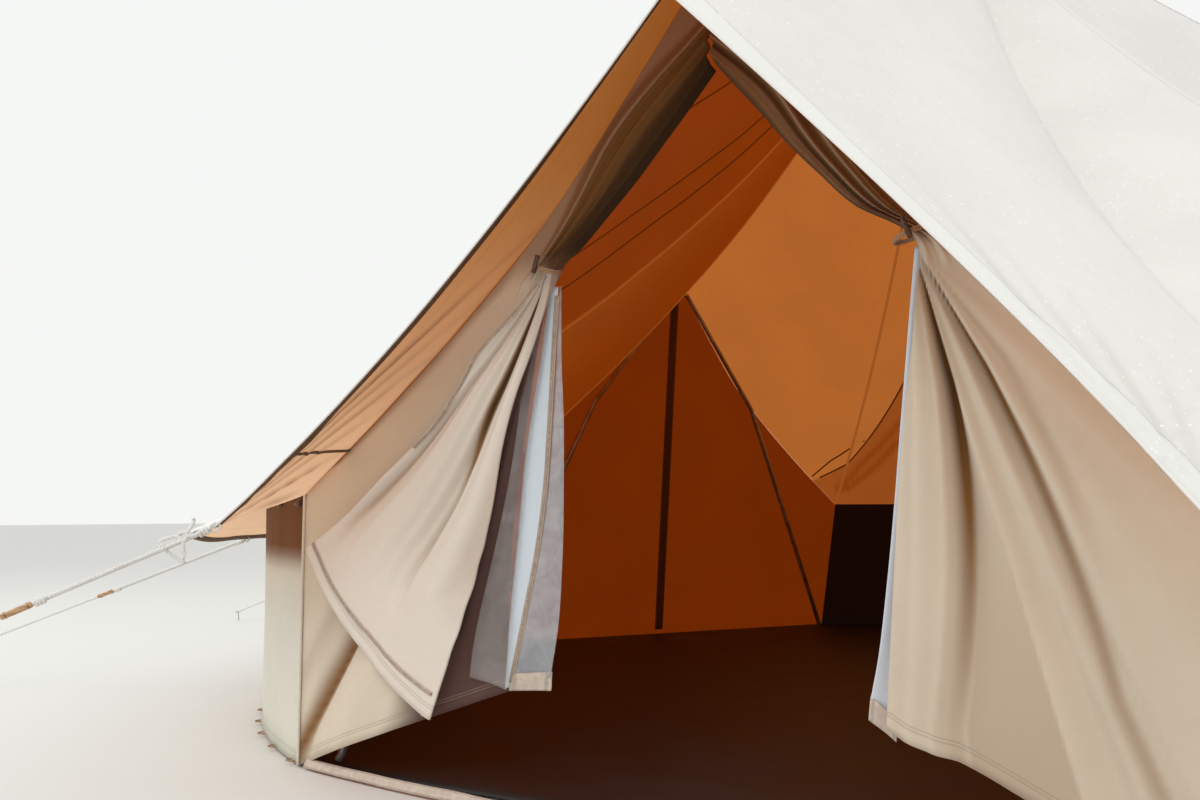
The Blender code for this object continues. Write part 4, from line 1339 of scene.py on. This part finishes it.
def build_guy(name, corner, outward, line):
    """One guy line: eyelet, knot, doubled rope, wooden slider, the loop round the peg, and the peg."""
    run, share = line
    across = Vector((-outward.y, outward.x, 0.0))
    start = corner + outward * 0.0017 - upright(0.005)
    foot = Vector((corner.x, corner.y, 0.0)) + outward * run
    anchor = foot + upright(PEG_TOP)
    way = (anchor - start).normalized()
    up = across.cross(way).normalized()
    up = up if up.z > 0.0 else -up
    slider = start + way * ((anchor - start).length * share)
    hook = anchor - upright(0.006) + outward * 0.004
    pieces = []
    for side in (-1.0, 1.0):
        offset = across * (0.0052 * side) + up * (0.0015 * side)
        upper = [start + way * 0.012, start + way * 0.05 + offset, slider - way * 0.06 + offset,
                 slider + offset * 0.8]
        pieces.append(twisted(f"{name}_upper_{side:.0f}", smooth_path(upper, 60)))
    loop = [slider + across * 0.006 + way * 0.02]
    loop += [mix(slider, anchor, f) + across * 0.0055 for f in (0.35, 0.7, 0.96)]
    loop += [hook + across * 0.005, hook + outward * 0.005, hook - across * 0.005]
    loop += [mix(slider, anchor, f) - across * 0.0055 for f in (0.96, 0.7, 0.35)]
    loop.append(slider - across * 0.006 + way * 0.02)
    pieces.append(twisted(f"{name}_lower", smooth_path(loop, 160)))
    for k, place in enumerate((start + way * 0.022, slider - way * 0.052)):
        coil = ring_path(place, across * 0.0078, up * 0.0066, 3.0, 60, way * 0.024)
        pieces.append(tube(f"{name}_knot_{k}", coil, 0.0040, ROPE))
    eye = ring_path(start - way * 0.004, way * 0.012, up * 0.009, 1.0, 24)
    pieces.append(tube(f"{name}_eye", eye, 0.0034, ROPE))
    rope = joined(f"{name}_rope", pieces)
    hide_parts(name)
    wood = [block(f"{name}_slider", slider, (way, across, up), (0.068, 0.026, 0.013), 0.0042, SLIDER)]
    for spot in (-0.024, 0.024):
        band = ring_path(slider + way * spot, across * 0.0132, up * 0.0072, 1.0, 32)
        wood.append(tube(f"{name}_slider_band", band, 0.0012, TOGGLE, 6))
    joined(f"{name}_slider", wood)
    peg = [foot + outward * reach + upright(height) for reach, height in (
        (-0.004, 0.001), (-0.001, 0.030), (0.002, 0.052), (0.010, 0.0585), (0.018, 0.052), (0.019, 0.043))]
    tube(f"{name}_peg", smooth_path(peg, 30), 0.0036, STEEL, 10)


# The runs of a front line's bow: steps along the roof's edge, up, and back
BOW_RUNS = (
    ((0.0, 0.0, 0.0), (-0.022, 0.000, 0.006), (-0.048, -0.010, 0.010), (-0.044, -0.026, 0.010),
     (-0.020, -0.016, 0.006), (0.0, -0.004, 0.002)),
    ((-0.048, -0.012, 0.010), (-0.030, -0.034, 0.012), (-0.010, -0.048, 0.012), (0.008, -0.060, 0.010)),
    ((0.0, 0.0, 0.0), (0.004, -0.020, 0.008), (0.006, -0.042, 0.010), (0.000, -0.060, 0.010)),
    ((0.0, 0.0, 0.0), (0.012, 0.014, -0.004), (0.024, 0.036, -0.006), (0.022, 0.044, -0.006)),
    ((0.0, 0.0, 0.0), (0.026, 0.004, 0.002), (0.046, 0.014, 0.004), (0.052, 0.016, 0.004)))


def build_bow(name, at, across):
    """The bow that a front line is tied off with, and its loose ends."""
    up = upright(1.0)
    back = across.cross(up).normalized()
    pieces = []
    for k, run in enumerate(BOW_RUNS):
        path = smooth_path([at + across * x + up * z + back * y for x, z, y in run], 40)
        pieces.append(twisted(f"{name}_{k}", path))
    wrap = ring_path(at, across * 0.010, up * 0.011, 2.0, 40, back * 0.012)
    pieces.append(tube(f"{name}_wrap", wrap, 0.0044, ROPE))
    joined(name, pieces)


def build_guys():
    for gable, side, matrix in HALVES:
        away = matrix.to_3x3() @ around(1.0, math.radians(30.0), 0.0)
        corner = matrix @ HEM_CORNER
        build_guy(f"guy_{gable}_{side}", corner, away, FRONT_LINE if gable == "front" else REAR_LINE)
        if gable == "front":
            across = Vector((0.844 if side == "left" else -0.844, 0.536, 0.0))
            build_bow(f"bow_{side}", corner + away * 0.070 - upright(0.026), across)
    for name, turn in (("side_right", HALF_THIRD), ("side_left", -HALF_THIRD), ("rear", math.pi)):
        build_guy(f"guy_{name}", around(SKIRT_RADIUS, turn, SKIRT_HEIGHT), around(1.0, turn, 0.0), SIDE_LINE)


def build_toggles():
    """Wooden toggles under the skirt, which a wall hangs from when it is rolled up, and loops at its foot."""
    for gable, side, matrix in HALVES:
        tag = f"{gable}_{side}"
        skin = wall_skin(matrix)
        bars, loops = [], []
        for i in range(7):
            u, v = 0.03 + 0.145 * i, 0.965
            point = skin(u, v)
            out = normal_of(skin, u, v, flat_away(point))
            way = (skin(min(u + 0.02, 1.0), v) - point).normalized()
            at = point + out * 0.010
            bars.append(tube(f"toggle_{i}", [at - way * 0.022, at + way * 0.022], 0.0055, TOGGLE, 10))
            behind = point + out * 0.001
            hang = [behind + upright(0.018), at + out * 0.004, at - upright(0.008), behind + upright(0.004)]
            loops.append(tube(f"toggle_cord_{i}", smooth_path(hang, 12), 0.0016, LOOP_CORD, 6))
            foot = skin(u, 0.0) + upright(0.006) + out * 0.003
            ring = [foot + out * (0.019 * math.sin(math.pi * k / 14)) + way * (0.016 * math.cos(math.pi * k / 14))
                    for k in range(15)]
            loops.append(tube(f"peg_loop_{i}", ring, 0.0022, LOOP_CORD, 6))
        joined(f"toggles_{tag}", bars)
        joined(f"toggle_cords_{tag}", loops)
        edge = [matrix @ (mix(CORNER, FOOT, f / 30) + Vector((0.0025, -0.0030, 0.004))) for f in range(31)]
        tube(f"corner_piping_{tag}", edge, 0.0040, SAND_PIPING)


def build_ties():
    """A tie cord round each gathered leaf, with its toggle."""
    for side, (x, z), left in (("right", TIE_RIGHT, False), ("left", TIE_LEFT, True)):
        middle = gable_point(x, z + 0.012, 0.018)
        way = Vector((1.0, 0.0, 0.35)).normalized()
        ring = ring_path(middle, way * 0.034, Vector((0.0, 0.034, 0.004)), 2.0, 72, upright(0.010))
        bar = [middle + Vector((0.012, -0.040, -0.014)), middle + Vector((-0.004, -0.044, 0.026))]
        tube(f"tie_cord_{side}", [sided(p, left) for p in ring], 0.0028, LOOP_CORD)
        tube(f"tie_toggle_{side}", [sided(p, left) for p in bar], 0.0055, TOGGLE, 10)


# Cloth sizes: each sheet's cut, how it is held, what it rests on, its area if it is no rectangle, and its trims
SHEETS = []
for gable, side, matrix in HALVES:
    tag = f"{gable}_{side}"
    SHEETS += [
        (f"roof_canvas_{tag}", (3.05, 3.70), "stretched", ["centre_pole", f"a_frame_{gable}"], 5.28,
         ("hem_webbing_" + tag, "hem_piping_" + tag, "roof_seams_" + tag, "corner_seam_" + tag, "eave_seam_" + tag)),
        (f"side_wall_{tag}", (1.395, 0.74), "hung", [f"roof_canvas_{tag}"], None,
         ("toggles_" + tag, "toggle_cords_" + tag, "corner_piping_" + tag))]
    if gable != "front":
        SHEETS.append((f"shut_door_{tag}", (1.22, 1.98), "hung", [f"roof_canvas_{tag}"], 1.54, ()))
SHEETS += [
    ("front_cloth_right", (1.16, 1.98), "gathered", ["roof_canvas_front_right"], 1.20,
     ("tie_cord_right", "tie_toggle_right")),
    ("front_cloth_left", (1.16, 1.98), "gathered", ["roof_canvas_front_left"], 1.05,
     ("tie_cord_left", "tie_toggle_left")),
    ("front_leaf_left", (0.75, 1.12), "folded", ["front_cloth_left"], 0.50, ("leaf_hem_zip", "leaf_edge_zip")),
    ("front_net_left", (0.070, 0.97), "gathered", ["front_cloth_left"], None, ("net_foot_band_left",)),
    ("front_net_back_left", (0.085, 0.97), "gathered", ["front_cloth_left"], None, ()),
    ("net_band_left", (0.055, 0.97), "gathered", ["front_cloth_left"], None, ("net_zip_left",)),
    ("front_net_right", (0.038, 0.95), "gathered", ["front_cloth_right"], None, ("net_foot_band_right",)),
    ("floor_cloth", (5.05, 5.05), "laid", ["root"], 18.6,
     ("threshold_lip_front", "threshold_lip_rear_right", "threshold_lip_rear_left")),
    ("peak_cap_cloth", (0.62, 0.62), "stretched", ["centre_pole"], 0.19,
     ("peak_cap_stitch_0", "peak_cap_stitch_1"))]


build_camera()
build_studio()
build_roof()
build_walls()
build_front_cloth()
build_lapel()
build_net()
build_shut_doors()
build_poles()
build_floor_cloth()
build_thresholds()
build_cap()
build_guys()
build_toggles()
build_ties()
